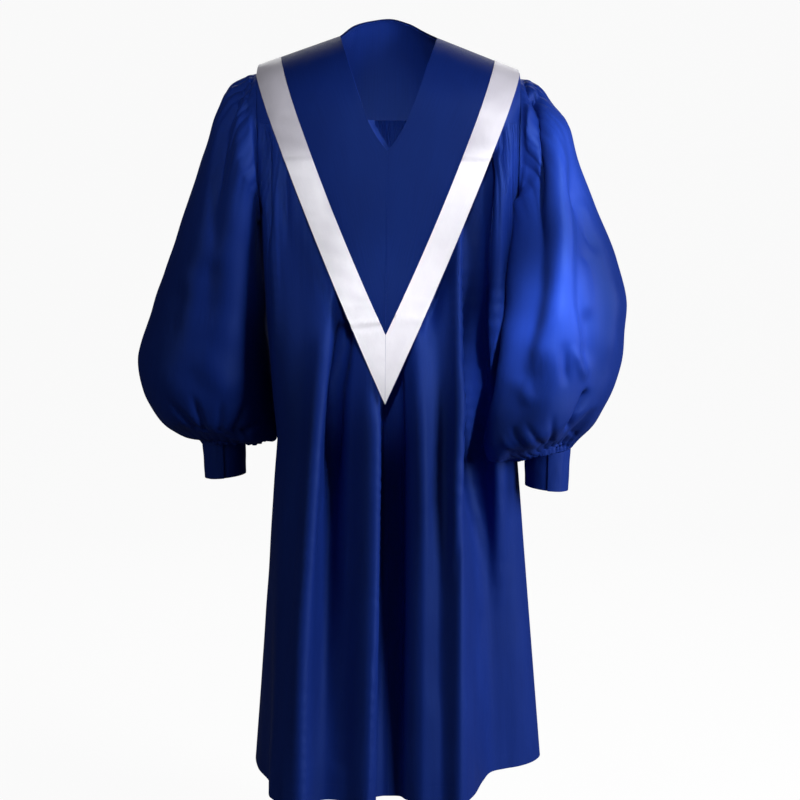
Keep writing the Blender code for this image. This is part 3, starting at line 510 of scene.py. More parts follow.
def frontKnots(sideName, drop):
    # Where each fold lies at each drop: knots[row, fold, (across, forward)].
    levels = (garment["yokeDrop"], garment["underarmDrop"], garment["hipDrop"], garment["hemDrop"])
    columns = []
    for _, atYoke, underarm, hip, hem in frontFolds[sideName]:
        depth = float(rounded(atYoke, garment["chestHalf"], garment["chestDepth"], garment["chestSquareness"]))
        columns.append(((atYoke, depth - frontShape["setIn"]), underarm, hip, hem))
    values = np.array(columns).transpose(1, 0, 2).reshape(4, -1)
    knots = smoothBetween(levels, values, drop).reshape(len(drop), -1, 2)
    below = drop >= garment["underarmDrop"]
    reach = np.interp(drop, side["drop"], side[sideName])
    drawn = np.where(below, reach - knots[:, 0, 0], 0.0)
    shares = np.array(side["drawnWithIt"])
    knots[:, :len(shares), 0] += drawn[:, None] * shares
    edge = armholeDepth(drop, frontShape["armholeDepth"])
    knots[~below, 0, 0] = garment["armholeX"]
    knots[~below, 0, 1] = edge[~below]
    knots[~below, 1] = (knots[~below, 0] + knots[~below, 2]) / 2
    opening = neckline["robeBottomDrop"] - garment["yokeDrop"]
    share = np.clip((neckline["robeBottomDrop"] - drop) / opening, 0, 1)
    knots[:, -1, 0] = garment["seamGap"] / 2 + neckline["robeAtYoke"] * share
    return knots


def frontPanel(sign, sideName, name):
    # Plan curves through the folds at each height, then gathers under the yoke seam and creases.
    shape = frontShape
    drop = rowDrops(shape["rows"], garment["yokeDrop"] + garment["seamGap"], garment["hemDrop"])
    plan = planCurves(frontKnots(sideName, drop), shape["columnsPerFold"])
    level = np.repeat(-drop[:, None], plan.shape[1], 1)
    grid = np.stack((sign * plan[:, :, 0], -plan[:, :, 1], level), axis=-1)
    normal = facingOut(surfaceNormals(grid), np.array((0.3 * sign, -1.0, 0.0)))
    place = np.linspace(0.0, 1.0, grid.shape[1])
    wave = gathers(place, shape["gatherCount"], *shape["gatherForm"], seeds["frontGathers"][sign > 0])
    atSide, atCentre = shape["gatherEnds"]
    ends = smoothStep(np.minimum(place / atSide, (1 - place) / atCentre))
    height = smoothBetween(shape["gatherDrop"], shape["gatherHeight"], drop)
    relief = height * (wave * ends)[None, :]
    creases = creaseRelief(grid[:, :, 0], -grid[:, :, 2], frontCreases[sideName])
    calm = smoothStep((drop - garment["yokeDrop"]) / shape["creaseStart"])[:, None]
    inside = smoothStep(np.minimum(place, 1 - place) / shape["creaseEnds"])[None, :]
    relief = relief + creases * calm * inside
    swell = softNoise(grid[:, :, 0], grid[:, :, 2], shape["swellSizes"], seeds["frontSwell"][sign > 0])
    relief = relief + shape["swell"] * swell * ends[None, :] * calm
    grid = grid + normal * relief[:, :, None]
    below = drop >= garment["underarmDrop"]
    grid[below, 0, 1] = -garment["sideSeamGap"] / 2
    tucked = grid[:1] + np.array((0.0, shape["tuckIn"], shape["tuckUp"]))
    grid = np.concatenate((tucked, grid))
    if sideName == "left":
        lap = np.concatenate([grid[:, -1:] + np.array(step) for step in shape["underlap"]], axis=1)
        grid = np.concatenate((grid, lap), axis=1)
    return clothPiece(name, grid, np.array((0.3 * sign, -1.0, 0.0)))


# Back of the robe

backShape = {
    "rows": 58,
    "columns": 660,
    "curvePoints": 1200,
    "flutes": 96,
    "fluteForm": (0.22, 0.5),
    "fluteEnds": 0.03,
    "setInEnds": 0.012,
    "fluteDrop": (0.130, 0.145, 0.270, 0.420, 0.620),
    "fluteHeight": (0.0009, 0.0014, 0.0012, 0.0008, 0.0),
    "folds": 11,
    "foldEnds": (6.0, 0.1),   # how fast the folds rise from the side seams, and what stays flat
    "foldDrop": (0.130, 0.270, 0.620, 1.160),
    "foldHeight": (0.0, 0.004, 0.013, 0.021),
    "depth": (0.105, 0.118, 0.135, 0.190),
    "squareness": (2.6, 2.5, 2.3, 2.2),
    "armholeDepth": 0.063,
    "shifts": ((2.5, 0.012), (4.5, 0.008)),
    "uneven": (2.7, 0.25),
    "evenShare": 0.76,        # the share of the panel that the armholes leave alone
}


def backCurve(drop):
    # Half a superellipse round the back at one height, between the side seams or the armholes,
    # with the length along it.
    shape = backShape
    left = np.interp(drop, side["drop"], side["left"])
    right = np.interp(drop, side["drop"], side["right"])
    depth = float(smoothBetween(shape["foldDrop"], shape["depth"], [drop])[0, 0])
    squareness = float(smoothBetween(shape["foldDrop"], shape["squareness"], [drop])[0, 0])
    start = 0.0
    if drop < garment["underarmDrop"]:
        edge = float(armholeDepth(drop, shape["armholeDepth"])) / depth
        left = right = garment["armholeX"] / (1.0 - edge ** squareness) ** (1.0 / squareness)
        start = np.arcsin(edge ** (squareness / 2))
    angle = np.linspace(start, np.pi - start, shape["curvePoints"])
    halfWidth = np.where(angle < np.pi / 2, left, right)
    x = -halfWidth * np.sign(np.cos(angle)) * np.abs(np.cos(angle)) ** (2 / squareness)
    y = depth * np.sin(angle) ** (2 / squareness)
    return x, y, np.concatenate(([0.0], np.cumsum(np.hypot(np.diff(x), np.diff(y)))))


def backSection(drop):
    # Columns in even steps of length from the middle; the armholes draw in only the outer ones.
    x, y, length = backCurve(drop)
    half = length[-1] / 2
    even = half
    if drop < garment["underarmDrop"]:
        part = (drop - garment["yokeDrop"]) / (garment["underarmDrop"] - garment["yokeDrop"])
        atYoke = backCurve(garment["yokeDrop"])[2][-1] / 2
        atUnderarm = backCurve(garment["underarmDrop"])[2][-1] / 2
        even = atYoke + (atUnderarm - atYoke) * smoothStep(part)
    share = np.linspace(-1.0, 1.0, backShape["columns"] + 1)
    inner = backShape["evenShare"]
    place = half + np.sign(share) * np.interp(np.abs(share), (0.0, inner, 1.0), (0.0, inner * even, half))
    return np.stack((np.interp(place, length, x), np.interp(place, length, y), np.full(len(place), -drop)), -1)


def backPanel():
    # Fine flutes under the yoke that run out into broad folds, each a wave along the section.
    shape = backShape
    drop = rowDrops(shape["rows"], garment["yokeDrop"] + garment["seamGap"], garment["hemDrop"])
    grid = np.stack([backSection(d) for d in drop])
    normal = facingOut(surfaceNormals(grid), (0.0, 1.0, 0.0))
    place = np.linspace(0.0, 1.0, shape["columns"] + 1)
    flutes = gathers(place, shape["flutes"], *shape["fluteForm"], seeds["flutes"])
    flutes *= smoothStep(np.minimum(place, 1 - place) / shape["fluteEnds"])
    shifted = place.copy()
    for waves, share in shape["shifts"]:
        shifted += share * np.sin(2 * np.pi * waves * place)
    waves, share = shape["uneven"]
    folds = -np.cos(2 * np.pi * shape["folds"] * shifted) * (1.0 + share * np.sin(2 * np.pi * waves * place))
    rise, flat = shape["foldEnds"]
    folds *= np.clip(np.minimum(place, 1.0 - place) * rise - flat, 0.0, 1.0)
    fluteHeight = smoothBetween(shape["fluteDrop"], shape["fluteHeight"], drop)
    foldHeight = smoothBetween(shape["foldDrop"], shape["foldHeight"], drop)
    under = smoothStep((drop - garment["yokeDrop"]) / shape["setInEnds"])
    setIn = frontShape["setIn"] * (1 - under)[:, None]
    relief = fluteHeight * flutes[None, :] + foldHeight * folds[None, :] - setIn
    grid = grid + normal * relief[:, :, None]
    below = drop >= garment["underarmDrop"]
    grid[below, 0, 1] = garment["sideSeamGap"] / 2
    grid[below, -1, 1] = garment["sideSeamGap"] / 2
    tucked = grid[:1] + np.array((0.0, -frontShape["tuckIn"], frontShape["tuckUp"]))
    return clothPiece("backPanel", np.concatenate((tucked, grid)), (0.0, 1.0, 0.0))


# Sleeves

# Sections from the sleeve head to the cuff: the outer and the inner point (out, back, up), and
# how far the front and the back stand off between them.
sleeveSections = {
    "left": (
        ("head seam", (0.2035, 0.000, -0.044), (0.2010, 0.000, -0.2700), 0.078, 0.063),
        ("head", (0.2240, 0.002, -0.0560), (0.2080, 0.000, -0.2710), 0.086, 0.074),
        ("crown", (0.2450, 0.005, -0.0730), (0.2130, 0.004, -0.2810), 0.092, 0.086),
        ("upper arm", (0.2670, 0.010, -0.1110), (0.2120, 0.008, -0.3080), 0.094, 0.092),
        ("arm", (0.2930, 0.016, -0.1810), (0.2090, 0.014, -0.3520), 0.097, 0.097),
        ("above elbow", (0.3260, 0.024, -0.2740), (0.2040, 0.022, -0.4100), 0.101, 0.103),
        ("elbow", (0.3600, 0.032, -0.3690), (0.1975, 0.030, -0.4720), 0.106, 0.108),
        ("puff", (0.3900, 0.038, -0.4510), (0.1900, 0.036, -0.5340), 0.109, 0.110),
        ("widest", (0.4060, 0.042, -0.5080), (0.1850, 0.040, -0.5850), 0.107, 0.106),
        ("turn in", (0.3980, 0.043, -0.5590), (0.1815, 0.042, -0.6210), 0.098, 0.096),
        ("underside", (0.3710, 0.043, -0.6060), (0.1880, 0.042, -0.6420), 0.080, 0.078),
        ("gathered", (0.3320, 0.042, -0.6340), (0.2140, 0.041, -0.6390), 0.054, 0.053),
        ("above cuff", (0.3090, 0.041, -0.6400), (0.2310, 0.040, -0.6320), 0.038, 0.037),
        ("cuff seam", (0.3045, 0.040, -0.6460), (0.2345, 0.040, -0.6380), 0.035, 0.035),
    ),
    "right": (
        ("head seam", (0.2035, 0.000, -0.050), (0.2010, 0.000, -0.2700), 0.078, 0.063),
        ("head", (0.2210, -0.002, -0.0615), (0.2080, -0.002, -0.2710), 0.086, 0.070),
        ("crown", (0.2410, -0.006, -0.0800), (0.2115, -0.010, -0.2810), 0.096, 0.078),
        ("upper arm", (0.2630, -0.012, -0.1180), (0.2110, -0.024, -0.3060), 0.098, 0.078),
        ("arm", (0.2900, -0.018, -0.1780), (0.2050, -0.042, -0.3480), 0.098, 0.080),
        ("above elbow", (0.3230, -0.026, -0.2580), (0.1960, -0.062, -0.4060), 0.098, 0.086),
        ("elbow", (0.3560, -0.034, -0.3390), (0.1860, -0.082, -0.4700), 0.098, 0.091),
        ("puff", (0.3720, -0.042, -0.4140), (0.1740, -0.096, -0.5320), 0.097, 0.093),
        ("widest", (0.3655, -0.046, -0.4960), (0.1600, -0.104, -0.5820), 0.093, 0.090),
        ("turn in", (0.3490, -0.048, -0.5500), (0.1500, -0.105, -0.6200), 0.096, 0.079),
        ("underside", (0.3250, -0.047, -0.5960), (0.1580, -0.098, -0.6480), 0.060, 0.068),
        ("gathered", (0.3000, -0.044, -0.6240), (0.1850, -0.075, -0.6520), 0.038, 0.060),
        ("above cuff", (0.2920, -0.041, -0.6335), (0.2115, -0.045, -0.6405), 0.039, 0.038),
        ("cuff seam", (0.2885, -0.040, -0.6390), (0.2155, -0.042, -0.6465), 0.0355, 0.0355),
    ),
}

sleeveShape = {
    "rows": 150,
    "columns": 216,
    "gatherCount": {"left": 31, "right": 33},
    "gatherHeight": (0.0, 0.0016, 0.0024, 0.0010, 0.0, 0.0, 0.0, 0.0, 0.0, 0.0, 0.0004, 0.0014, 0.0014, 0.0),
    "gatherForm": (0.20, 0.0),
    "gatherSwing": ((3, 1.0, 0.35), (7, 0.0, 0.2)),   # waves round the sleeve, start and height
    "innerGathers": 0.25,     # share of the gathers' height that is left on the inner side
    "pressedBack": {"left": 0.2, "right": 0.6},
    "frontFrom": 0.12,
    "backFrom": 0.05,
    "sideBlend": 0.35,
    "ends": (0.05, 0.03),
    "swellSizes": (0.06, 0.10),
    "armholeDepth": (0.078, 0.063),
    "stations": (0.12, 0.45, 0.85),
    "swell": 0.0014,
}

# Main folds: angle from the outer side towards the front, in degrees, at the head, the elbow
# and the cuff; width in degrees; and height at the head, the elbow and the cuff.
sleeveFolds = {
    "left": (
        ("outer valley", 66.0, 86.0, 90.0, 15.0, -0.010, -0.004, 0.0),
        ("front ridge", 112.0, 120.0, 120.0, 26.0, 0.008, 0.007, 0.0),
        ("inner valley", 165.0, 158.0, 150.0, 16.0, -0.008, -0.004, -0.004),
        ("roll behind the side", 205.0, 210.0, 210.0, 15.0, 0.012, 0.009, 0.0),
        ("back valley", 235.0, 245.0, 250.0, 18.0, -0.008, -0.010, 0.0),
        ("back ridge", 285.0, 290.0, 290.0, 24.0, 0.006, 0.007, 0.0),
    ),
    "right": (
        ("front valley", 106.0, 118.0, 128.0, 16.0, -0.010, -0.003, 0.0),
        ("front ridge", 70.0, 92.0, 112.0, 20.0, 0.008, 0.009, 0.006),
        ("outer valley", 46.0, 56.0, 66.0, 14.0, -0.004, -0.008, -0.005),
        ("roll before the side", 144.0, 158.0, 156.0, 20.0, 0.023, 0.019, 0.0),
        ("cuff pocket", 50.0, 50.0, 52.0, 12.0, 0.0, 0.0, -0.006),
        ("back valley", 238.0, 250.0, 255.0, 18.0, -0.008, -0.010, 0.0),
        ("back ridge", 288.0, 292.0, 292.0, 24.0, 0.006, 0.007, 0.0),
    ),
}

# Creases of the sleeves' fronts, as on the fronts of the robe.
sleeveCreases = {
    "left": (
        ("long valley", ((-0.217, 0.056), (-0.236, 0.092), (-0.253, 0.136), (-0.264, 0.191), (-0.270, 0.239),
                         (-0.274, 0.277), (-0.270, 0.340)), 0.008, 0.009, -0.013, 0.1, 0.5),
        ("inner swell", ((-0.216, 0.090), (-0.214, 0.150), (-0.211, 0.230), (-0.206, 0.320), (-0.200, 0.420),
                         (-0.194, 0.500)), 0.026, 0.012, 0.011, 0.2, 0.3),
        ("outer swell", ((-0.246, 0.080), (-0.264, 0.124), (-0.280, 0.190)), 0.010, 0.008, 0.003, 0.2, 0.5),
        ("head crease", ((-0.208, 0.052), (-0.216, 0.080), (-0.219, 0.130)), 0.004, 0.004, -0.004, 0.1, 0.6),
        ("second head crease", ((-0.232, 0.066), (-0.250, 0.095), (-0.262, 0.130)),
         0.004, 0.004, -0.003, 0.1, 0.6),
        ("soft hollow", ((-0.284, 0.330), (-0.278, 0.390), (-0.284, 0.450)), 0.026, 0.026, -0.005, 0.3, 0.4),
        ("outer hollow", ((-0.330, 0.360), (-0.335, 0.420), (-0.345, 0.480)), 0.020, 0.016, -0.004, 0.3, 0.4),
        ("lower swell", ((-0.300, 0.470), (-0.270, 0.530), (-0.235, 0.560)), 0.022, 0.022, 0.004, 0.3, 0.4),
        ("underside", ((-0.360, 0.606), (-0.310, 0.622), (-0.260, 0.624), (-0.215, 0.612)),
         0.014, 0.014, -0.007, 0.3, 0.2),
        ("gather one", ((-0.352, 0.560), (-0.325, 0.590), (-0.304, 0.618)), 0.006, 0.006, -0.006, 0.5, 0.1),
        ("gather two", ((-0.312, 0.545), (-0.300, 0.585), (-0.292, 0.622)), 0.006, 0.006, -0.006, 0.5, 0.1),
        ("gather three", ((-0.262, 0.550), (-0.266, 0.585), (-0.270, 0.620)), 0.005, 0.006, -0.005, 0.5, 0.1),
        ("gather four", ((-0.226, 0.560), (-0.238, 0.590), (-0.250, 0.616)), 0.005, 0.006, -0.006, 0.5, 0.1),
        ("gather five", ((-0.196, 0.590), (-0.214, 0.604), (-0.234, 0.618)), 0.005, 0.006, -0.006, 0.4, 0.1),
    ),
    "right": (
        ("inner edge", ((0.198, 0.262), (0.194, 0.330), (0.192, 0.400)), 0.014, 0.014, 0.008, 0.3, 0.4),
        ("first ridge", ((0.216, 0.085), (0.216, 0.144), (0.213, 0.200), (0.204, 0.262)),
         0.007, 0.006, 0.006, 0.2, 0.4),
        ("black valley", ((0.223, 0.080), (0.226, 0.110), (0.229, 0.150), (0.232, 0.190), (0.232, 0.230),
                          (0.228, 0.280)), 0.007, 0.010, -0.018, 0.1, 0.45),
        ("main ridge", ((0.236, 0.085), (0.250, 0.144), (0.255, 0.194), (0.258, 0.256), (0.260, 0.310),
                        (0.256, 0.366), (0.247, 0.422), (0.232, 0.476), (0.214, 0.530)),
         0.014, 0.026, 0.018, 0.15, 0.15),
        ("outer edge", ((0.258, 0.185), (0.269, 0.227), (0.278, 0.283), (0.281, 0.343), (0.284, 0.399),
                        (0.2945, 0.443), (0.303, 0.500)), 0.006, 0.014, -0.008, 0.2, 0.2),
        ("knob", ((0.204, 0.505), (0.209, 0.535), (0.222, 0.556)), 0.012, 0.010, 0.005, 0.4, 0.4),
        ("branch", ((0.276, 0.460), (0.288, 0.488), (0.303, 0.520)), 0.007, 0.007, 0.007, 0.4, 0.3),
        ("small valley", ((0.264, 0.450), (0.264, 0.490), (0.268, 0.530)), 0.008, 0.007, -0.008, 0.4, 0.4),
        ("cuff pocket", ((0.310, 0.530), (0.302, 0.550), (0.286, 0.578), (0.273, 0.602)),
         0.006, 0.006, -0.017, 0.25, 0.15),
        ("first dent", ((0.262, 0.222), (0.276, 0.242), (0.292, 0.264)), 0.006, 0.007, -0.004, 0.4, 0.4),
        ("second dent", ((0.298, 0.282), (0.312, 0.305), (0.330, 0.332)), 0.006, 0.007, -0.0045, 0.4, 0.4),
        ("small swell", ((0.288, 0.243), (0.302, 0.262), (0.314, 0.284)), 0.006, 0.006, 0.003, 0.4, 0.4),
        ("third dent", ((0.284, 0.325), (0.300, 0.330), (0.318, 0.345)), 0.006, 0.007, -0.003, 0.4, 0.4),
        ("dark side", ((0.304, 0.400), (0.309, 0.450), (0.304, 0.505)), 0.016, 0.012, -0.009, 0.3, 0.3),
        ("rim", ((0.330, 0.330), (0.344, 0.390), (0.342, 0.450), (0.328, 0.520)),
         0.010, 0.012, 0.004, 0.3, 0.3),
        ("underside", ((0.170, 0.630), (0.196, 0.634), (0.235, 0.630), (0.270, 0.618)),
         0.018, 0.018, -0.009, 0.3, 0.3),
        ("puff ridge", ((0.172, 0.596), (0.184, 0.616), (0.204, 0.628)), 0.005, 0.005, 0.003, 0.4, 0.4),
        ("puff valley", ((0.186, 0.580), (0.196, 0.602), (0.212, 0.620)), 0.005, 0.005, -0.004, 0.4, 0.3),
        ("gather one", ((0.205, 0.575), (0.222, 0.600), (0.240, 0.622)), 0.005, 0.005, -0.005, 0.4, 0.1),
        ("gather two", ((0.246, 0.560), (0.248, 0.592), (0.251, 0.622)), 0.005, 0.005, -0.005, 0.5, 0.1),
        ("gather three", ((0.326, 0.560), (0.306, 0.590), (0.286, 0.618)), 0.005, 0.005, -0.005, 0.4, 0.1),
        ("head crease one", ((0.208, 0.058), (0.214, 0.085), (0.212, 0.120)), 0.0035, 0.0035, -0.004, 0.1, 0.6),
        ("head crease two", ((0.222, 0.064), (0.236, 0.088), (0.244, 0.118)), 0.0035, 0.0035, -0.004, 0.1, 0.6),
        ("head crease three", ((0.232, 0.072), (0.248, 0.096), (0.260, 0.130)),
         0.0035, 0.0035, -0.003, 0.1, 0.6),
    ),
}

# Creases of the sleeves' backs, like those of the fronts: one table for both sides.
sleeveBackCreases = (
    ("long valley", ((0.222, 0.070), (0.240, 0.130), (0.256, 0.200), (0.262, 0.270), (0.262, 0.340)),
     0.009, 0.011, -0.008, 0.15, 0.5),
    ("middle ridge", ((0.250, 0.150), (0.266, 0.240), (0.276, 0.330), (0.280, 0.420), (0.276, 0.500)),
     0.015, 0.018, 0.007, 0.3, 0.3),
    ("elbow dent", ((0.290, 0.300), (0.306, 0.318), (0.326, 0.345)), 0.007, 0.008, -0.004, 0.4, 0.4),
    ("second elbow dent", ((0.282, 0.352), (0.300, 0.364), (0.322, 0.382)), 0.006, 0.008, -0.003, 0.4, 0.4),
    ("outer hollow", ((0.312, 0.400), (0.318, 0.450), (0.312, 0.510)), 0.015, 0.012, -0.006, 0.3, 0.3),
    ("lower swell", ((0.234, 0.490), (0.258, 0.535), (0.286, 0.560)), 0.017, 0.017, 0.005, 0.3, 0.4),
    ("gather one", ((0.205, 0.572), (0.222, 0.598), (0.238, 0.622)), 0.005, 0.006, -0.005, 0.4, 0.1),
    ("gather two", ((0.248, 0.550), (0.252, 0.588), (0.256, 0.622)), 0.006, 0.005, -0.006, 0.5, 0.1),
    ("gather three", ((0.304, 0.555), (0.292, 0.590), (0.278, 0.618)), 0.006, 0.006, -0.005, 0.4, 0.1),
)


def armholeRing(sign, angle):
    # The seam of the sleeve head, from the shoulder round the front to the underarm and back: the
    # cosine of the angle up from the yoke seam or down from it, and its sine to front and back.
    up = np.cos(angle)
    forward = np.sin(angle)
    front, back = sleeveShape["armholeDepth"]
    depth = np.where(forward > 0, front, back)
    top = garment["yokeDrop"] - shoulderDrop(np.array(sign * garment["shoulder"]))
    bottom = garment["underarmDrop"] - garment["yokeDrop"]
    x = armholeAcross(np.clip(up, 0.0, 1.0)) + garment["seamGap"]
    x = x + garment["wallHalf"] * (1.0 - np.clip(up, 0.0, 1.0))
    return np.stack((x, -depth * forward, -garment["yokeDrop"] + np.where(up > 0, top, bottom) * up), axis=-1)


def sleeve(sign, sideName, name):
    # Rings through the sections: halfway between the outer and inner points, plus the cosine of
    # the angle towards them and its sine to the front and back. Then folds, gathers and creases.
    shape = sleeveShape
    sections = sleeveSections[sideName]
    values = np.array([outer + inner + (front, back) for _, outer, inner, front, back in sections])
    along = np.linspace(0.0, 1.0, shape["rows"])
    stations = np.linspace(0.0, 1.0, len(sections))
    section = smoothBetween(stations, values, along)
    angle = np.linspace(0.0, 2 * np.pi, shape["columns"], endpoint=False)
    cosine = np.cos(angle)[None, :]
    sine = np.sin(angle)[None, :]
    outer = section[:, None, 0:3]
    inner = section[:, None, 3:6]
    ring = (outer + inner) / 2 + cosine[:, :, None] * (outer - inner) / 2
    pressed = 1.0 - shape["pressedBack"][sideName] * np.clip(-cosine, 0.0, 1.0)
    ring[:, :, 1] -= np.where(sine > 0, section[:, 6:7], section[:, 7:8] * pressed) * sine
    seam = armholeRing(sign, angle)
    near = smoothBetween((0.0, stations[1], stations[2], 1.0), (1.0, 0.5, 0.0, 0.0), along)[:, :, None]
    # Known fault: this takes the seam to the first section's middle, 10 mm below its own, so the
    # sleeve head hangs that much lower than the armhole.
    moved = seam[None] + (ring.mean(axis=1, keepdims=True) - seam.mean(axis=0))
    grid = near * moved + (1 - near) * ring
    relief = np.zeros(grid.shape[:2])
    marks = (0.0,) + shape["stations"] + (1.0,)
    for _, head, elbow, cuff, width, headHeight, elbowHeight, cuffHeight in sleeveFolds[sideName]:
        place = np.radians(np.interp(along, shape["stations"], (head, elbow, cuff)))
        height = smoothBetween(marks, (0.0, headHeight, elbowHeight, cuffHeight, 0.0), along)
        apart = (angle[None, :] - place[:, None] + np.pi) % (2 * np.pi) - np.pi
        relief += height * np.exp(-(apart / np.radians(width)) ** 2)
    headWave = gathers(angle / (2 * np.pi), shape["gatherCount"][sideName], *shape["gatherForm"],
                       seeds["sleeveGathers"][sign > 0])
    swing = 1.0
    for waves, start, amount in shape["gatherSwing"]:
        swing = swing + amount * np.sin(waves * angle + start)
    low = shape["innerGathers"]
    upper = np.where(along[:, None] < 0.5, low + (1 - low) * (1.0 + cosine) / 2, 1.0)
    gatherHeight = smoothBetween(stations, shape["gatherHeight"], along)
    relief += gatherHeight * (headWave * swing)[None, :] * upper
    normal = surfaceNormals(grid, ring=True)
    centre = grid.mean(axis=1, keepdims=True)
    normal = facingOut(normal, grid - centre)
    onFront = smoothStep((sine + shape["frontFrom"]) / shape["sideBlend"])
    onBack = smoothStep((-sine - shape["backFrom"]) / shape["sideBlend"])
    atHead, atCuff = shape["ends"]
    ends = smoothStep(along / atHead)[:, None] * smoothStep((1 - along) / atCuff)[:, None]
    creases = creaseRelief(sign * grid[:, :, 0], -grid[:, :, 2], sleeveCreases[sideName])
    relief += creases * onFront * ends
    relief += creaseRelief(grid[:, :, 0], -grid[:, :, 2], sleeveBackCreases) * onBack * ends
    swell = softNoise(grid[:, :, 0], grid[:, :, 2], shape["swellSizes"], seeds["sleeveSwell"][sign > 0])
    relief += shape["swell"] * swell * ends
    grid = grid + normal * relief[:, :, None]
    grid = grid * np.array((sign, 1.0, 1.0))
    centre = grid.mean(axis=1, keepdims=True)
    first = np.stack((np.zeros_like(angle), -np.sin(angle), np.cos(angle)), axis=-1)
    last = np.stack((sign * np.cos(angle), -np.sin(angle), np.zeros_like(angle)), axis=-1)
    return clothPiece(name, grid, grid - centre, ring=True, edgeNormals={0: first, -1: last})


# Cuffs

cuffShape = {
    "columns": 150,
    "rows": 22,
    "overlap": 24.0,
    "edgeAngle": 68.0,
    "lapStart": 330.0,
    "lapOver": 25.0,
    "lapGap": 0.0006,
    "swell": 0.0008,
    "swellOver": (0.035, 0.058),      # radius and length that the swell is measured over
    "swellSizes": (0.022, 0.04),
    "swellEnds": 0.3,
    "setIn": 0.0006,
    "bottom": {
        "left": ((0.3010, 0.040, -0.7020), (0.2345, 0.040, -0.6950)),
        "right": ((0.2850, -0.042, -0.7070), (0.2170, -0.042, -0.6990)),
    },
}


def cuff(sign, sideName, name):
    # A strip wrapped once round the wrist, its end lapped over its start.
    shape = cuffShape
    _, outerTop, innerTop, _, _ = sleeveSections[sideName][-1]
    turns = np.linspace(0.0, np.radians(360.0 + shape["overlap"]), shape["columns"])
    angle = np.radians(shape["edgeAngle"]) + turns
    lap = smoothStep((np.degrees(turns) - shape["lapStart"]) / shape["lapOver"])
    growth = (2 * garment["wallHalf"] + shape["lapGap"]) * lap
    share = np.linspace(0.0, 1.0, shape["rows"])[:, None]
    outerBottom, innerBottom = shape["bottom"][sideName]
    outer = (1 - share) * np.array(outerTop) + share * np.array(outerBottom)
    inner = (1 - share) * np.array(innerTop) + share * np.array(innerBottom)
    centre = (outer + inner) / 2
    radius = (outer[:, :1] - inner[:, :1]) / 2 - shape["setIn"] + growth[None, :]
    wrist, length = shape["swellOver"]
    dent = softNoise(angle[None, :] * wrist + 0 * share, share * length + 0 * radius,
                     shape["swellSizes"], seeds["cuffSwell"])
    fade = smoothStep(np.minimum(turns, turns[-1] - turns) / shape["swellEnds"])[None, :]
    radius = radius + shape["swell"] * dent * (np.sin(np.pi * share) * fade)
    tilt = (outer[:, 2:] - inner[:, 2:]) / 2
    x = sign * (centre[:, :1] + radius * np.cos(angle))
    y = centre[:, 1:2] - radius * np.sin(angle)
    z = centre[:, 2:] + tilt * np.cos(angle) - garment["seamGap"] * (1 - share)
    grid = np.stack((x, y, z + 0 * x), axis=-1)
    middleLine = np.stack((sign * centre[:, 0], centre[:, 1], centre[:, 2]), axis=-1)[:, None]
    return clothPiece(name, grid, grid - middleLine)


# Stole and bands

# A V edge runs from the shoulder to its tip on the centre line:
# half width = spread * height above the tip - bow * height squared.
stole = {
    "neckBottomDrop": 0.171,
    "neckBow": 0.019,
    "inner": {"front": (0.447, 0.470, 0.172), "back": (0.290, 0.660, 0.070)},
    "outer": {"front": (0.5515, 0.455, 0.0936), "back": (0.3615, 0.675, 0.072)},
    "tipCut": 0.004,
    "shift": 0.0094,
    "reach": 0.2012,
    "levels": (0.130, 0.270, 0.420, 0.560),
    "depth": {"front": (0.130, 0.1425, 0.155, 0.167), "back": (0.105, 0.127, 0.140, 0.150)},
    "facing": {"front": -1.0, "back": 1.0},
    "rest": 0.0008,
    "clothHalf": 0.0010,
    "bandHalf": 0.0012,
    "bandShell": 0.0014,      # thickness of the band that shows
    "clothSwell": 0.0007,
    "clothSwellSizes": (0.07, 0.13),
    "bandSwell": 0.0009,
    "bandSwellSizes": (0.03, 0.055),
    # drop at the centre, slant, width and height of each press across a band
    "presses": {
        "front": {
            "left": ((0.172, 0.04, 0.0040, 0.0016), (0.181, 0.04, 0.0035, -0.0010),
                     (0.215, -0.05, 0.004, 0.0006), (0.262, 0.06, 0.005, -0.0006),
                     (0.402, 0.02, 0.004, 0.0006), (0.425, 0.10, 0.0030, 0.0016),
                     (0.433, 0.10, 0.0035, -0.0012)),
            "right": ((0.176, 0.03, 0.0040, 0.0016), (0.185, 0.03, 0.0035, -0.0010),
                      (0.240, 0.08, 0.005, 0.0005), (0.330, -0.06, 0.006, 0.0006),
                      (0.392, 0.10, 0.0035, 0.0010), (0.419, 0.12, 0.0035, 0.0014)),
        },
        "back": {
            "left": ((0.168, 0.04, 0.0040, 0.0014), (0.240, -0.05, 0.005, 0.0006)),
            "right": ((0.170, 0.04, 0.0040, 0.0014), (0.262, 0.05, 0.005, 0.0006)),
        },
    },
}


def vEdge(edge, drop):
    # Half width of a V edge at a drop, by the formula above.
    tip, spread, bow = edge
    height = np.maximum(tip - drop, 0.0)
    return spread * height - bow * height ** 2


def neckEdge(drop):
    # Half width of the neck opening: a straight line to its tip, bowed outwards near the tip.
    part = np.clip(drop / stole["neckBottomDrop"], 0.0, 1.0)
    return garment["neck"] * (1 - part) + stole["neckBow"] * part * (1 - part ** 4)


def edgeAtHeight(edge, height, sign):
    # Half width where a V edge crosses each row of the yoke, found by repeated substitution.
    x = np.full_like(height, garment["neck"])
    for _ in range(30):
        x = vEdge(edge, garment["yokeDrop"] + (shoulderDrop(sign * x) - garment["yokeDrop"]) * height)
    return x


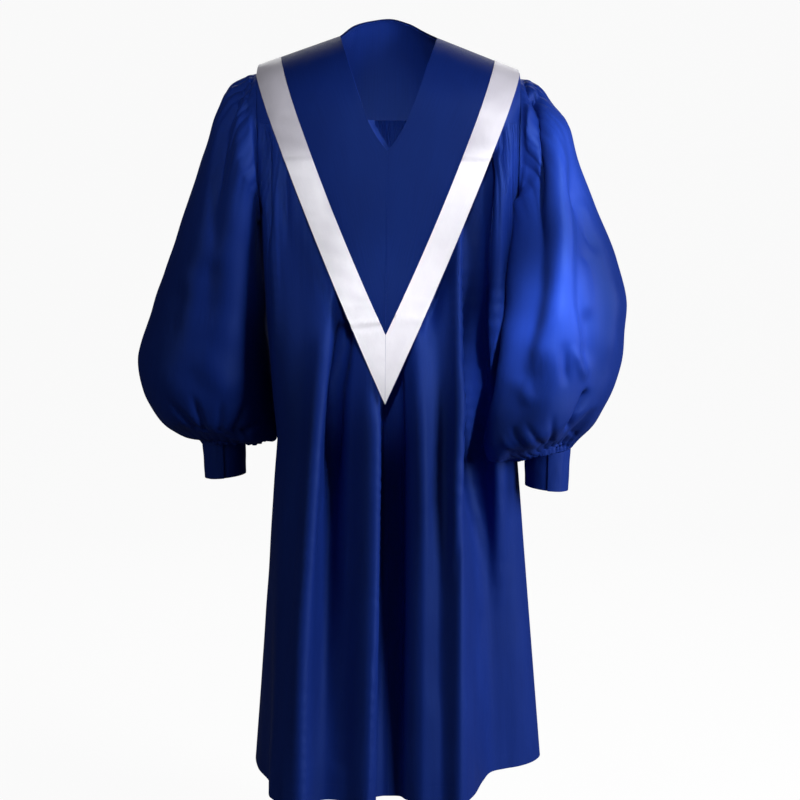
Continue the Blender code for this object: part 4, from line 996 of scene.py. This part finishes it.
def stoleSurface(x, drop, face):
    # Below the yoke seam the stole follows a superellipse whose depth grows with the drop.
    flat = (drop + 0 * x).reshape(-1)
    depth = smoothBetween(stole["levels"], stole["depth"][face], flat).reshape(x.shape)
    y = stole["facing"][face] * rounded(x, garment["chestHalf"], depth, garment["chestSquareness"])
    return np.stack((x, y, -(drop + 0 * x)), axis=-1)


def laidOnRobe(grid, face, half):
    # The stole lies on the robe's shoulders, and hangs a little off the centre line.
    outward = (0.0, stole["facing"][face], 0.3)
    lifted = garment["wallHalf"] + half + stole["rest"]
    grid = grid + facingOut(surfaceNormals(grid), outward) * lifted
    grid[:, :, 0] += stole["shift"] * np.minimum(grid[:, :, 2], 0.0)
    return grid


def pressedFold(grid, sign, face):
    # Presses across the band: a bell curve round each one's drop makes a soft step or crease.
    drop = -grid[:, :, 2]
    for level, tilt, width, height in stole["presses"][face]["left" if sign < 0 else "right"]:
        away = (drop - level - tilt * np.abs(grid[:, :, 0])) / width
        grid[:, :, 1] += stole["facing"][face] * height * np.exp(-away ** 2)
    return grid


def stoleFront(sign, name):
    # From the neck edge to the band in even shares: over the shoulder, then down to the tip.
    edge = stole["inner"]["front"]
    rows, columns = counts["stoleFront"]
    share = np.linspace(0.0, 1.0, columns)[None, :]
    height = yokeHeights(rows)
    inner = neckEdge(garment["yokeDrop"] * (1 - height))
    outer = edgeAtHeight(edge, height, sign) - garment["seamGap"] / 2
    x = sign * (inner + (outer - inner) * share)
    upper = frontShoulder(x, height + 0 * x)
    between = np.linspace(garment["yokeDrop"], stole["neckBottomDrop"], counts["stoleNeck"])[1:]
    below = np.linspace(stole["neckBottomDrop"], edge[0] - stole["tipCut"], counts["stoleFall"])[1:]
    drop = np.concatenate((between, below))[:, None]
    outer = vEdge(edge, drop) - garment["seamGap"] / 2
    inner = neckEdge(drop) + garment["seamGap"] / 2
    x = sign * (inner + (outer - inner) * share)
    lower = stoleSurface(x, drop, "front")
    grid = laidOnRobe(np.concatenate((upper, lower)), "front", stole["clothHalf"])
    swell = softNoise(grid[:, :, 0], grid[:, :, 2], stole["clothSwellSizes"], seeds["stoleSwell"][sign > 0])
    grid[:, :, 1] += stole["clothSwell"] * swell
    grid[0, :, 1] = -garment["seamGap"] / 2
    return clothPiece(name, grid, (0.0, -1.0, 0.3), edgeNormals={0: shoulderNormals(grid[0, :, 0])})


def band(sign, face, name):
    # Between the stole's inner and outer V edges in even shares, mitred on the centre line.
    innerEdge = stole["inner"][face]
    outerEdge = stole["outer"][face]
    shoulder = frontShoulder if face == "front" else backShoulder
    rows, columns = counts["band"]
    share = np.linspace(0.0, 1.0, columns)[None, :]
    height = yokeHeights(rows)
    inner = edgeAtHeight(innerEdge, height, sign)
    outer = np.minimum(edgeAtHeight(outerEdge, height, sign), stole["reach"])
    half = garment["seamGap"] / 2
    x = sign * (inner + half + (outer - inner - half) * share)
    upper = shoulder(x, height + 0 * x)
    steps = np.linspace(0.0, 1.0, counts["bandFall"])[1:, None]
    innerDrop = garment["yokeDrop"] + (innerEdge[0] - garment["yokeDrop"]) * steps
    outerDrop = garment["yokeDrop"] + (outerEdge[0] - garment["yokeDrop"]) * steps
    drop = innerDrop + (outerDrop - innerDrop) * share
    inner = vEdge(innerEdge, innerDrop)
    outer = vEdge(outerEdge, outerDrop)
    x = sign * (half + inner + (outer - inner) * share)
    lower = stoleSurface(x, drop, face)
    grid = laidOnRobe(np.concatenate((upper, lower)), face, stole["bandHalf"])
    grid = pressedFold(grid, sign, face)
    out = stole["facing"][face]
    swell = softNoise(grid[:, :, 0], grid[:, :, 2], stole["bandSwellSizes"], seeds["bandSwell"][sign > 0])
    grid[:, :, 1] += out * stole["bandSwell"] * swell
    grid[0, :, 1] = out * half
    return clothPiece(name, grid, (0.0, out, 0.3), edgeNormals={0: shoulderNormals(grid[0, :, 0])},
                      lift=stole["bandHalf"], shell=stole["bandShell"])


def stoleBack():
    # Across the back between the inner edges of its bands, down to its tip.
    edge = stole["inner"]["back"]
    rows, neckColumns, outerColumns = counts["stoleBack"]
    height = yokeHeights(rows)
    reach = edgeAtHeight(edge, height, 1.0) - garment["seamGap"] / 2
    x = acrossBack(reach, neckColumns, outerColumns)
    upper = backShoulder(x, height + 0 * x)
    drop = np.linspace(garment["yokeDrop"], edge[0] - stole["tipCut"], counts["stoleBackFall"])[1:, None]
    x = acrossBack(vEdge(edge, drop) - garment["seamGap"] / 2, neckColumns, outerColumns)
    lower = stoleSurface(x, drop, "back")
    grid = laidOnRobe(np.concatenate((upper, lower)), "back", stole["clothHalf"])
    onShoulder = np.abs(upper[0, :, 0]) >= garment["neck"] - garment["seamGap"]
    grid[0, onShoulder, 1] = garment["seamGap"] / 2
    normal = facingOut(surfaceNormals(grid), (0.0, 1.0, 0.3))[0]
    normal[onShoulder] = shoulderNormals(grid[0, :, 0])[onShoulder]
    return clothPiece("stoleBack", grid, (0.0, 1.0, 0.3), edgeNormals={0: normal})


# Stitching

stitching = {
    "pitch": 0.0034,
    "length": 0.0027,
    "width": 0.00055,
    "height": 0.00030,
    "sunk": 0.00010,
    # which rows or columns of each kind of piece are sewn along
    "bandLines": (np.s_[:, 1], np.s_[:, -2]),
    "cuffLines": (np.s_[1], np.s_[-2]),
    "yokeLines": (np.s_[-2],),
    "hemLines": (np.s_[-4],),
}


def stitchLine(path, outward):
    # Along the path by its length, one stitch a pitch: a low four-sided bead, pointed at both ends.
    shape = stitching
    gap = np.linalg.norm(np.diff(path, axis=0), axis=1)
    length = np.concatenate(([0.0], np.cumsum(gap)))
    place = np.arange(shape["pitch"], length[-1] - shape["pitch"] / 2, shape["pitch"])
    reach = shape["length"] / 2

    def along(values, at):
        return np.stack([np.interp(at, length, values[:, axis]) for axis in range(3)], axis=-1)

    up = along(outward, place)
    up /= np.linalg.norm(up, axis=1)[:, None]
    start = along(path, place - reach) - up * shape["sunk"]
    end = along(path, place + reach) - up * shape["sunk"]
    across = np.cross(end - start, up)
    across *= shape["width"] / 2 / np.linalg.norm(across, axis=1)[:, None]
    middle = along(path, place)
    return np.stack((start, end, middle + across, middle - across, middle + up * shape["height"],
                     middle - up * shape["sunk"] * 2), axis=1)


def stitches(name, lines, thread):
    # All the stitches of a piece in one mesh: six points and eight faces for each.
    points = np.concatenate([stitchLine(path, outward) for path, outward in lines])
    bead = np.array(((0, 2, 4), (2, 1, 4), (1, 3, 4), (3, 0, 4), (2, 0, 5), (1, 2, 5), (3, 1, 5), (0, 3, 5)))
    faces = (bead[None] + 6 * np.arange(len(points))[:, None, None]).reshape(-1, 3)
    mesh = bpy.data.meshes.new(name)
    mesh.from_pydata(points.reshape(-1, 3).tolist(), [], faces.tolist())
    mesh.materials.append(thread)
    mesh.shade_smooth()
    piece = newObject(name, mesh)
    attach(piece, "root")
    return piece


def sewnLines(piece, lines):
    # Rows and columns of a cloth piece's outer face, each with the way out from it.
    points = np.empty(len(piece.data.vertices) * 3)
    piece.data.vertices.foreach_get("co", points)
    outer, inner = points.reshape(2, -1, piece["columns"], 3)
    return [(outer[line], (outer - inner)[line]) for line in lines]


# Materials

def newGroup(name, inputs, outputs):
    # An empty node group with the named inputs, their defaults and the named outputs.
    group = bpy.data.node_groups.new(name, "ShaderNodeTree")
    for label, kind, value in inputs:
        socket = group.interface.new_socket(name=label, in_out="INPUT", socket_type=kind)
        if value is not None:
            socket.default_value = value
    for label, kind in outputs:
        group.interface.new_socket(name=label, in_out="OUTPUT", socket_type=kind)
    return group, group.nodes.new("NodeGroupInput"), group.nodes.new("NodeGroupOutput")


def makeNode(tree, kind, feeds, **settings):
    # A node with its properties set, each named input given a constant or a link.
    node = tree.nodes.new("ShaderNode" + kind)
    for label, value in settings.items():
        setattr(node, label, value)
    feed(tree, node, feeds)
    return node


def feed(tree, node, feeds):
    # Each named input gets a link from a socket, or else a constant.
    for label, value in feeds.items():
        if isinstance(value, bpy.types.NodeSocket):
            tree.links.new(value, node.inputs[label])
        else:
            node.inputs[label].default_value = value


def mathNode(tree, operation, first, second=None):
    # One Math node on a link or constant, or on two, and its result.
    feeds = {0: first} if second is None else {0: first, 1: second}
    return makeNode(tree, "Math", feeds, operation=operation).outputs[0]


# Shares of the weave's height, the finer dents, and the range and depths all the cloths use.
weaveShape = {"rib": 0.6, "streak": 0.4, "streakStretch": 0.02}
dentShape = {"fineSize": 3.1, "fineShare": 0.3}
clothBase = {"toneFrom": 0.35, "toneTo": 0.65, "weaveDepth": 0.0002, "dentDepth": 0.004}


def makeTwill():
    # Diagonal ribs of a fine twill, with streaks of uneven yarn down the cloth.
    # height = rib * its share + streak * its share
    group, given, result = newGroup(
        "fineTwill",
        (("Cloth", "NodeSocketVector", None), ("Pitch", "NodeSocketFloat", 0.0012),
         ("Slant", "NodeSocketFloat", 1.0), ("Streak", "NodeSocketFloat", 900.0)),
        (("Height", "NodeSocketFloat"), ("Streaks", "NodeSocketFloat")))
    parts = makeNode(group, "SeparateXYZ", {0: given.outputs["Cloth"]})
    slanted = mathNode(group, "MULTIPLY", parts.outputs["Y"], given.outputs["Slant"])
    across = mathNode(group, "ADD", parts.outputs["X"], slanted)
    turns = mathNode(group, "DIVIDE", across, given.outputs["Pitch"])
    rib = mathNode(group, "SINE", mathNode(group, "MULTIPLY", turns, 2 * math.pi))
    narrow = makeNode(group, "Mapping", {"Scale": (1.0, weaveShape["streakStretch"], 1.0),
                                         "Vector": given.outputs["Cloth"]})
    streak = makeNode(group, "TexNoise", {"Detail": 3.0, "Vector": narrow.outputs[0],
                                          "Scale": given.outputs["Streak"]})
    height = mathNode(group, "ADD", mathNode(group, "MULTIPLY", rib, weaveShape["rib"]),
                      mathNode(group, "MULTIPLY", streak.outputs[0], weaveShape["streak"]))
    feed(group, result, {"Height": height, "Streaks": streak.outputs[0]})
    return group


def makeHandling():
    # Shallow dents of cloth that has been folded and handled, at two sizes.
    # height = broad + fine * its share
    group, given, result = newGroup(
        "handling",
        (("Place", "NodeSocketVector", None), ("Size", "NodeSocketFloat", 18.0),
         ("Stretch", "NodeSocketFloat", 0.4)),
        (("Height", "NodeSocketFloat"), ("Tone", "NodeSocketFloat")))
    stretch = makeNode(group, "CombineXYZ", {"X": 1.0, "Y": 1.0, "Z": given.outputs["Stretch"]})
    shaped = makeNode(group, "VectorMath", {0: given.outputs["Place"], 1: stretch.outputs[0]},
                      operation="MULTIPLY")
    fineSize = mathNode(group, "MULTIPLY", given.outputs["Size"], dentShape["fineSize"])
    broad = makeNode(group, "TexNoise", {"Detail": 2.0, "Vector": shaped.outputs[0],
                                         "Scale": given.outputs["Size"]})
    fine = makeNode(group, "TexNoise", {"Detail": 3.0, "Vector": shaped.outputs[0], "Scale": fineSize})
    height = mathNode(group, "ADD", broad.outputs[0],
                      mathNode(group, "MULTIPLY", fine.outputs[0], dentShape["fineShare"]))
    feed(group, result, {"Height": height, "Tone": broad.outputs[0]})
    return group


def clothMaterial(name, look, twill, handling):
    # A Principled cloth: two near tones mixed by the streaks and dents, twill and dents as bump.
    made = bpy.data.materials.new(name)
    made.use_nodes = True
    tree = made.node_tree
    shader = tree.nodes["Principled BSDF"]
    place = makeNode(tree, "UVMap", {}, uv_map="cloth")
    objectPlace = makeNode(tree, "TexCoord", {}).outputs["Object"]
    woven = makeNode(tree, "Group", dict(look["weave"], Cloth=place.outputs[0]), node_tree=twill)
    dents = makeNode(tree, "Group", dict(look["dents"], Place=objectPlace), node_tree=handling)
    tone = mathNode(tree, "ADD", mathNode(tree, "MULTIPLY", woven.outputs["Streaks"], look["streakShare"]),
                    mathNode(tree, "MULTIPLY", dents.outputs["Tone"], 1 - look["streakShare"]))
    spread = makeNode(tree, "MapRange", {"From Min": clothBase["toneFrom"],
                                        "From Max": clothBase["toneTo"], "Value": tone})
    colour = makeNode(tree, "Mix", {"A": look["deep"], "B": look["light"], "Factor": spread.outputs[0]},
                      data_type="RGBA")
    shown = colour.outputs["Result"]
    # Painted shade: above the press the colour is multiplied by the look's upper tone, darker where the band
    # turns away from the light.
    if "upper" in look:
        parts = makeNode(tree, "SeparateXYZ", {0: objectPlace})
        low, high = look["paintedShadeEdge"]
        above = makeNode(tree, "MapRange", {"From Min": low, "From Max": high, "Value": parts.outputs["Z"]},
                         interpolation_type="SMOOTHSTEP")
        paintedShadeAbove = makeNode(tree, "Mix", {"A": shown, "B": look["upper"], "Factor": above.outputs[0]},
                        data_type="RGBA", blend_type="MULTIPLY")
        shown = paintedShadeAbove.outputs["Result"]
    low, high = look["rough"]
    rough = makeNode(tree, "MapRange", {"To Min": low, "To Max": high, "Value": tone})
    weaveBump = makeNode(tree, "Bump", {"Strength": look["weaveBump"], "Distance": clothBase["weaveDepth"],
                                        "Height": woven.outputs["Height"]})
    dentBump = makeNode(tree, "Bump", {"Strength": look["dentBump"], "Distance": clothBase["dentDepth"],
                                       "Height": dents.outputs["Height"], "Normal": weaveBump.outputs[0]})
    feed(tree, shader, look["shader"])
    feed(tree, shader, {"Base Color": shown, "Roughness": rough.outputs[0], "Normal": dentBump.outputs[0]})
    return made


robeLook = {
    "deep": (0.0065, 0.0240, 0.200, 1.0),
    "light": (0.0085, 0.0310, 0.245, 1.0),
    "rough": (0.46, 0.56),
    "shader": {"IOR": 1.45, "Specular IOR Level": 0.35, "Specular Tint": (0.25, 0.45, 1.0, 1.0),
               "Sheen Weight": 0.04, "Sheen Roughness": 0.5, "Sheen Tint": (0.15, 0.30, 1.0, 1.0)},
    "weave": {"Pitch": 0.0011, "Slant": 1.4, "Streak": 700.0},
    "dents": {"Size": 16.0, "Stretch": 0.35},
    "streakShare": 0.5,
    "weaveBump": 0.25,
    "dentBump": 0.25,
}

# The stole is the same cloth with painted shade: toned to about half the robe's colour, since the chest lamp,
# which the bands and the inside of the neck need, would show it too bright.
shadedStoleLook = dict(robeLook, deep=(0.0034, 0.0125, 0.104, 1.0), light=(0.0045, 0.0165, 0.130, 1.0),
                 shader={"IOR": 1.45, "Specular IOR Level": 0.16, "Specular Tint": (0.25, 0.45, 1.0, 1.0)})

satinLook = {
    "deep": (0.840, 0.825, 0.900, 1.0),
    "light": (0.900, 0.885, 0.960, 1.0),
    "upper": (0.62, 0.61, 0.64, 1.0),      # painted shade: darker above the press, where the band's upper part turns away from the light, toned to the tone seen there
    # heights over which the painted shade above the press fades in
    "paintedShadeEdge": (-0.200, -0.155),
    "rough": (0.30, 0.40),
    "shader": {"IOR": 1.5, "Specular IOR Level": 0.5, "Sheen Weight": 0.15, "Sheen Roughness": 0.3,
               "Anisotropic": 0.4},
    "weave": {"Pitch": 0.0009, "Slant": 0.2, "Streak": 1100.0},
    "dents": {"Size": 26.0, "Stretch": 0.8},
    "streakShare": 0.35,
    "weaveBump": 0.15,
    "dentBump": 0.35,
}


# Flat size (width, length), area, how the sheet is held, and its sewn lines.
sheets = {
    "backYoke": ((0.42, 0.21), 0.069, "draped", "yokeLines"),
    "backPanel": ((0.86, 1.06), 0.81, "gathered", "hemLines"),
    "frontYoke": ((0.19, 0.20), 0.028, "draped", "yokeLines"),
    "front": ((0.52, 1.05), 0.385, "gathered", "hemLines"),
    "sleeve": ((0.72, 0.66), 0.31, "gathered", ""),
    "cuff": ((0.24, 0.062), 0.0135, "stretched", "cuffLines"),
    "stoleFront": ((0.20, 0.50), 0.043, "draped", ""),
    "bandFront": ((0.12, 0.60), 0.025, "draped", "bandLines"),
    "bandBack": ((0.10, 0.42), 0.017, "draped", "bandLines"),
    "stoleBack": ((0.36, 0.36), 0.070, "draped", ""),
}


def buildPieces():
    # Every piece in its place, with the cloth of its slot and stitches along its sheet's sewn lines.
    fineTwill = makeTwill()
    handling = makeHandling()
    looks = (("robe_cloth", "royalBlueCloth", robeLook), ("stole_cloth", "stoleClothPaintedShade", shadedStoleLook),
             ("band_satin", "silverSatin", satinLook))
    finishes = {slot: clothMaterial(name, look, fineTwill, handling) for slot, name, look in looks}
    pieces = []

    def add(piece, kind, node, slot):
        flat, area, held, lines = sheets[kind]
        finish = finishes[slot]
        piece.data.materials.append(finish)
        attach(piece, "root")
        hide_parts(node)
        sewing = []
        if lines:
            sewing = [stitches(piece.name + "Stitches", sewnLines(piece, stitching[lines]), finish)]
        pieces.append(piece)
        print("made", piece.name, len(piece.data.polygons), "faces")

    add(backYoke(), "backYoke", "back_yoke", "robe_cloth")
    add(backPanel(), "backPanel", "back_panel", "robe_cloth")
    for sign, sideName in ((-1.0, "left"), (1.0, "right")):
        title = sideName.capitalize()
        yoke = "front_yoke_" + sideName
        add(frontYoke(sign, "frontYoke" + title), "frontYoke", yoke, "robe_cloth")
        add(frontPanel(sign, sideName, "front" + title), "front", "front_" + sideName, "robe_cloth")
        add(sleeve(sign, sideName, "sleeve" + title), "sleeve", "sleeve_" + sideName, "robe_cloth")
        add(cuff(sign, sideName, "cuff" + title), "cuff", "cuff_" + sideName, "robe_cloth")
        stoleNode = "stole_front_" + sideName
        add(stoleFront(sign, "stoleFront" + title), "stoleFront", stoleNode, "stole_cloth")
        add(band(sign, "front", "bandFront" + title), "bandFront", "band_front_" + sideName, "band_satin")
        add(band(sign, "back", "bandBack" + title), "bandBack", "band_back_" + sideName, "band_satin")
    add(stoleBack(), "stoleBack", "stole_back", "stole_cloth")
    return pieces


# Floor, light and camera

setting = {
    "floorDrop": 1.42,
    "floorFront": -5.0,
    "wallBack": 4.5,
    "wallTop": 4.5,
    "wallCurve": 1.6,
    "wallSteps": 24,
    "halfWidth": 7.0,
    "backdropGrey": (0.10, 0.10, 0.10, 1.0),
    "backdropGlow": 0.93,
    "white": (1.0, 1.0, 1.0, 1.0),
    "roomLight": 0.035,
    "lampsFace": (0.0, 0.0, -0.45),
    "camera": (0.0176, -3.0, -0.13),
    "lens": 85.0,
    "sensor": 36.0,
    "pitch": 8.33,
}

# Soft boxes: name, degrees round from the front towards the viewer's right, degrees up,
# distance from the middle of the robe, width, height and power.
softBoxes = (
    ("keyLight", 52.0, 16.0, 3.0, 0.9, 1.5, 62.0),
    ("sideLight", 84.0, 8.0, 3.0, 1.0, 1.6, 34.0),
    ("leftLight", -52.0, 12.0, 3.2, 1.4, 1.4, 10.0),
    ("backLight", 180.0, 32.0, 3.2, 2.4, 1.6, 26.0),
)

# Snooted lights: name, degrees round, degrees up, distance, what they point at, cone in
# degrees, softness and power.
snoots = (
    ("chestLight", 4.0, 13.0, 2.6, (-0.035, 0.0, -0.14), 15.0, 0.10, 138.0),
    ("tipLight", 2.0, 28.0, 2.6, (-0.005, -0.15, -0.43), 6.6, 0.05, 140.0),
    ("upperSleeveLight", 16.0, 14.0, 2.6, (0.262, -0.06, -0.20), 4.9, 0.05, 560.0),
    ("sleeveLight", 14.0, 22.0, 2.6, (0.242, -0.09, -0.32), 3.9, 0.05, 240.0),
    ("lowerSleeveLight", 20.0, 42.0, 2.6, (0.243, -0.13, -0.45), 4.2, 0.05, 1150.0),
)


def aimLight(data, around, up, distance, target):
    # Puts a light round and above its target, and turns it to face the target.
    lamp = newObject(data.name, data)
    around = math.radians(around)
    up = math.radians(up)
    lamp.location = (target[0] + distance * math.sin(around) * math.cos(up),
                     target[1] - distance * math.cos(around) * math.cos(up),
                     target[2] + distance * math.sin(up))
    lamp.rotation_euler = (math.pi / 2 - up, 0.0, around)


def backdrop():
    # One pale sheet: the floor, a quarter circle, then the wall, as a profile carried across.
    curve = setting["wallCurve"]
    turn = np.linspace(0.0, np.pi / 2, setting["wallSteps"])
    y = np.concatenate(([setting["floorFront"]], setting["wallBack"] - curve + curve * np.sin(turn),
                        [setting["wallBack"]]))
    z = np.concatenate(([0.0], curve - curve * np.cos(turn), [setting["wallTop"]])) - setting["floorDrop"]
    x = np.array([-1.0, 1.0]) * setting["halfWidth"]
    points = np.stack(np.broadcast_arrays(x[None, :], y[:, None], z[:, None]), axis=-1).reshape(-1, 3)
    first = 2 * np.arange(len(y) - 1)
    quads = np.stack((first, first + 1, first + 3, first + 2), axis=-1)
    mesh = bpy.data.meshes.new("backdrop")
    mesh.from_pydata(points.tolist(), [], quads.tolist())
    mesh.shade_smooth()
    sheet = newObject("backdrop", mesh)
    made = bpy.data.materials.new("paleBackdrop")
    made.use_nodes = True
    tree = made.node_tree
    path = makeNode(tree, "LightPath", {})
    glow = mathNode(tree, "MULTIPLY", path.outputs["Is Camera Ray"], setting["backdropGlow"])
    feed(tree, tree.nodes["Principled BSDF"], {
        "Base Color": setting["backdropGrey"], "Roughness": 1.0, "Specular IOR Level": 0.0,
        "Emission Color": setting["white"], "Emission Strength": glow})
    sheet.data.materials.append(made)


def stageAndLights():
    # The backdrop, the room's even light, the lamps and the camera.
    backdrop()
    world = bpy.data.worlds.new("studio")
    bpy.context.scene.world = world
    world.use_nodes = True
    tree = world.node_tree
    path = makeNode(tree, "LightPath", {})
    amount = makeNode(tree, "MapRange", {"To Min": setting["roomLight"], "To Max": 1.0,
                                         "Value": path.outputs["Is Camera Ray"]})
    feed(tree, tree.nodes["Background"], {"Color": setting["white"], "Strength": amount.outputs[0]})

    for name, around, up, distance, width, height, power in softBoxes:
        data = bpy.data.lights.new(name, "AREA")
        data.shape = "RECTANGLE"
        data.size = width
        data.size_y = height
        data.energy = power
        aimLight(data, around, up, distance, setting["lampsFace"])
    for name, around, up, distance, target, cone, softness, power in snoots:
        data = bpy.data.lights.new(name, "SPOT")
        data.spot_size = math.radians(cone)
        data.spot_blend = 1.0
        data.shadow_soft_size = softness
        data.energy = power
        aimLight(data, around, up, distance, target)

    data = bpy.data.cameras.new("camera")
    data.lens = setting["lens"]
    data.sensor_width = setting["sensor"]
    camera = newObject("camera", data)
    camera.location = setting["camera"]
    camera.rotation_euler = (math.radians(90.0 - setting["pitch"]), 0.0, 0.0)
    bpy.context.scene.camera = camera
    bpy.context.scene.view_settings.view_transform = "Standard"


stageAndLights()
print("stage, lights and camera set")
allPieces = buildPieces()
print("pieces made:", len(allPieces))
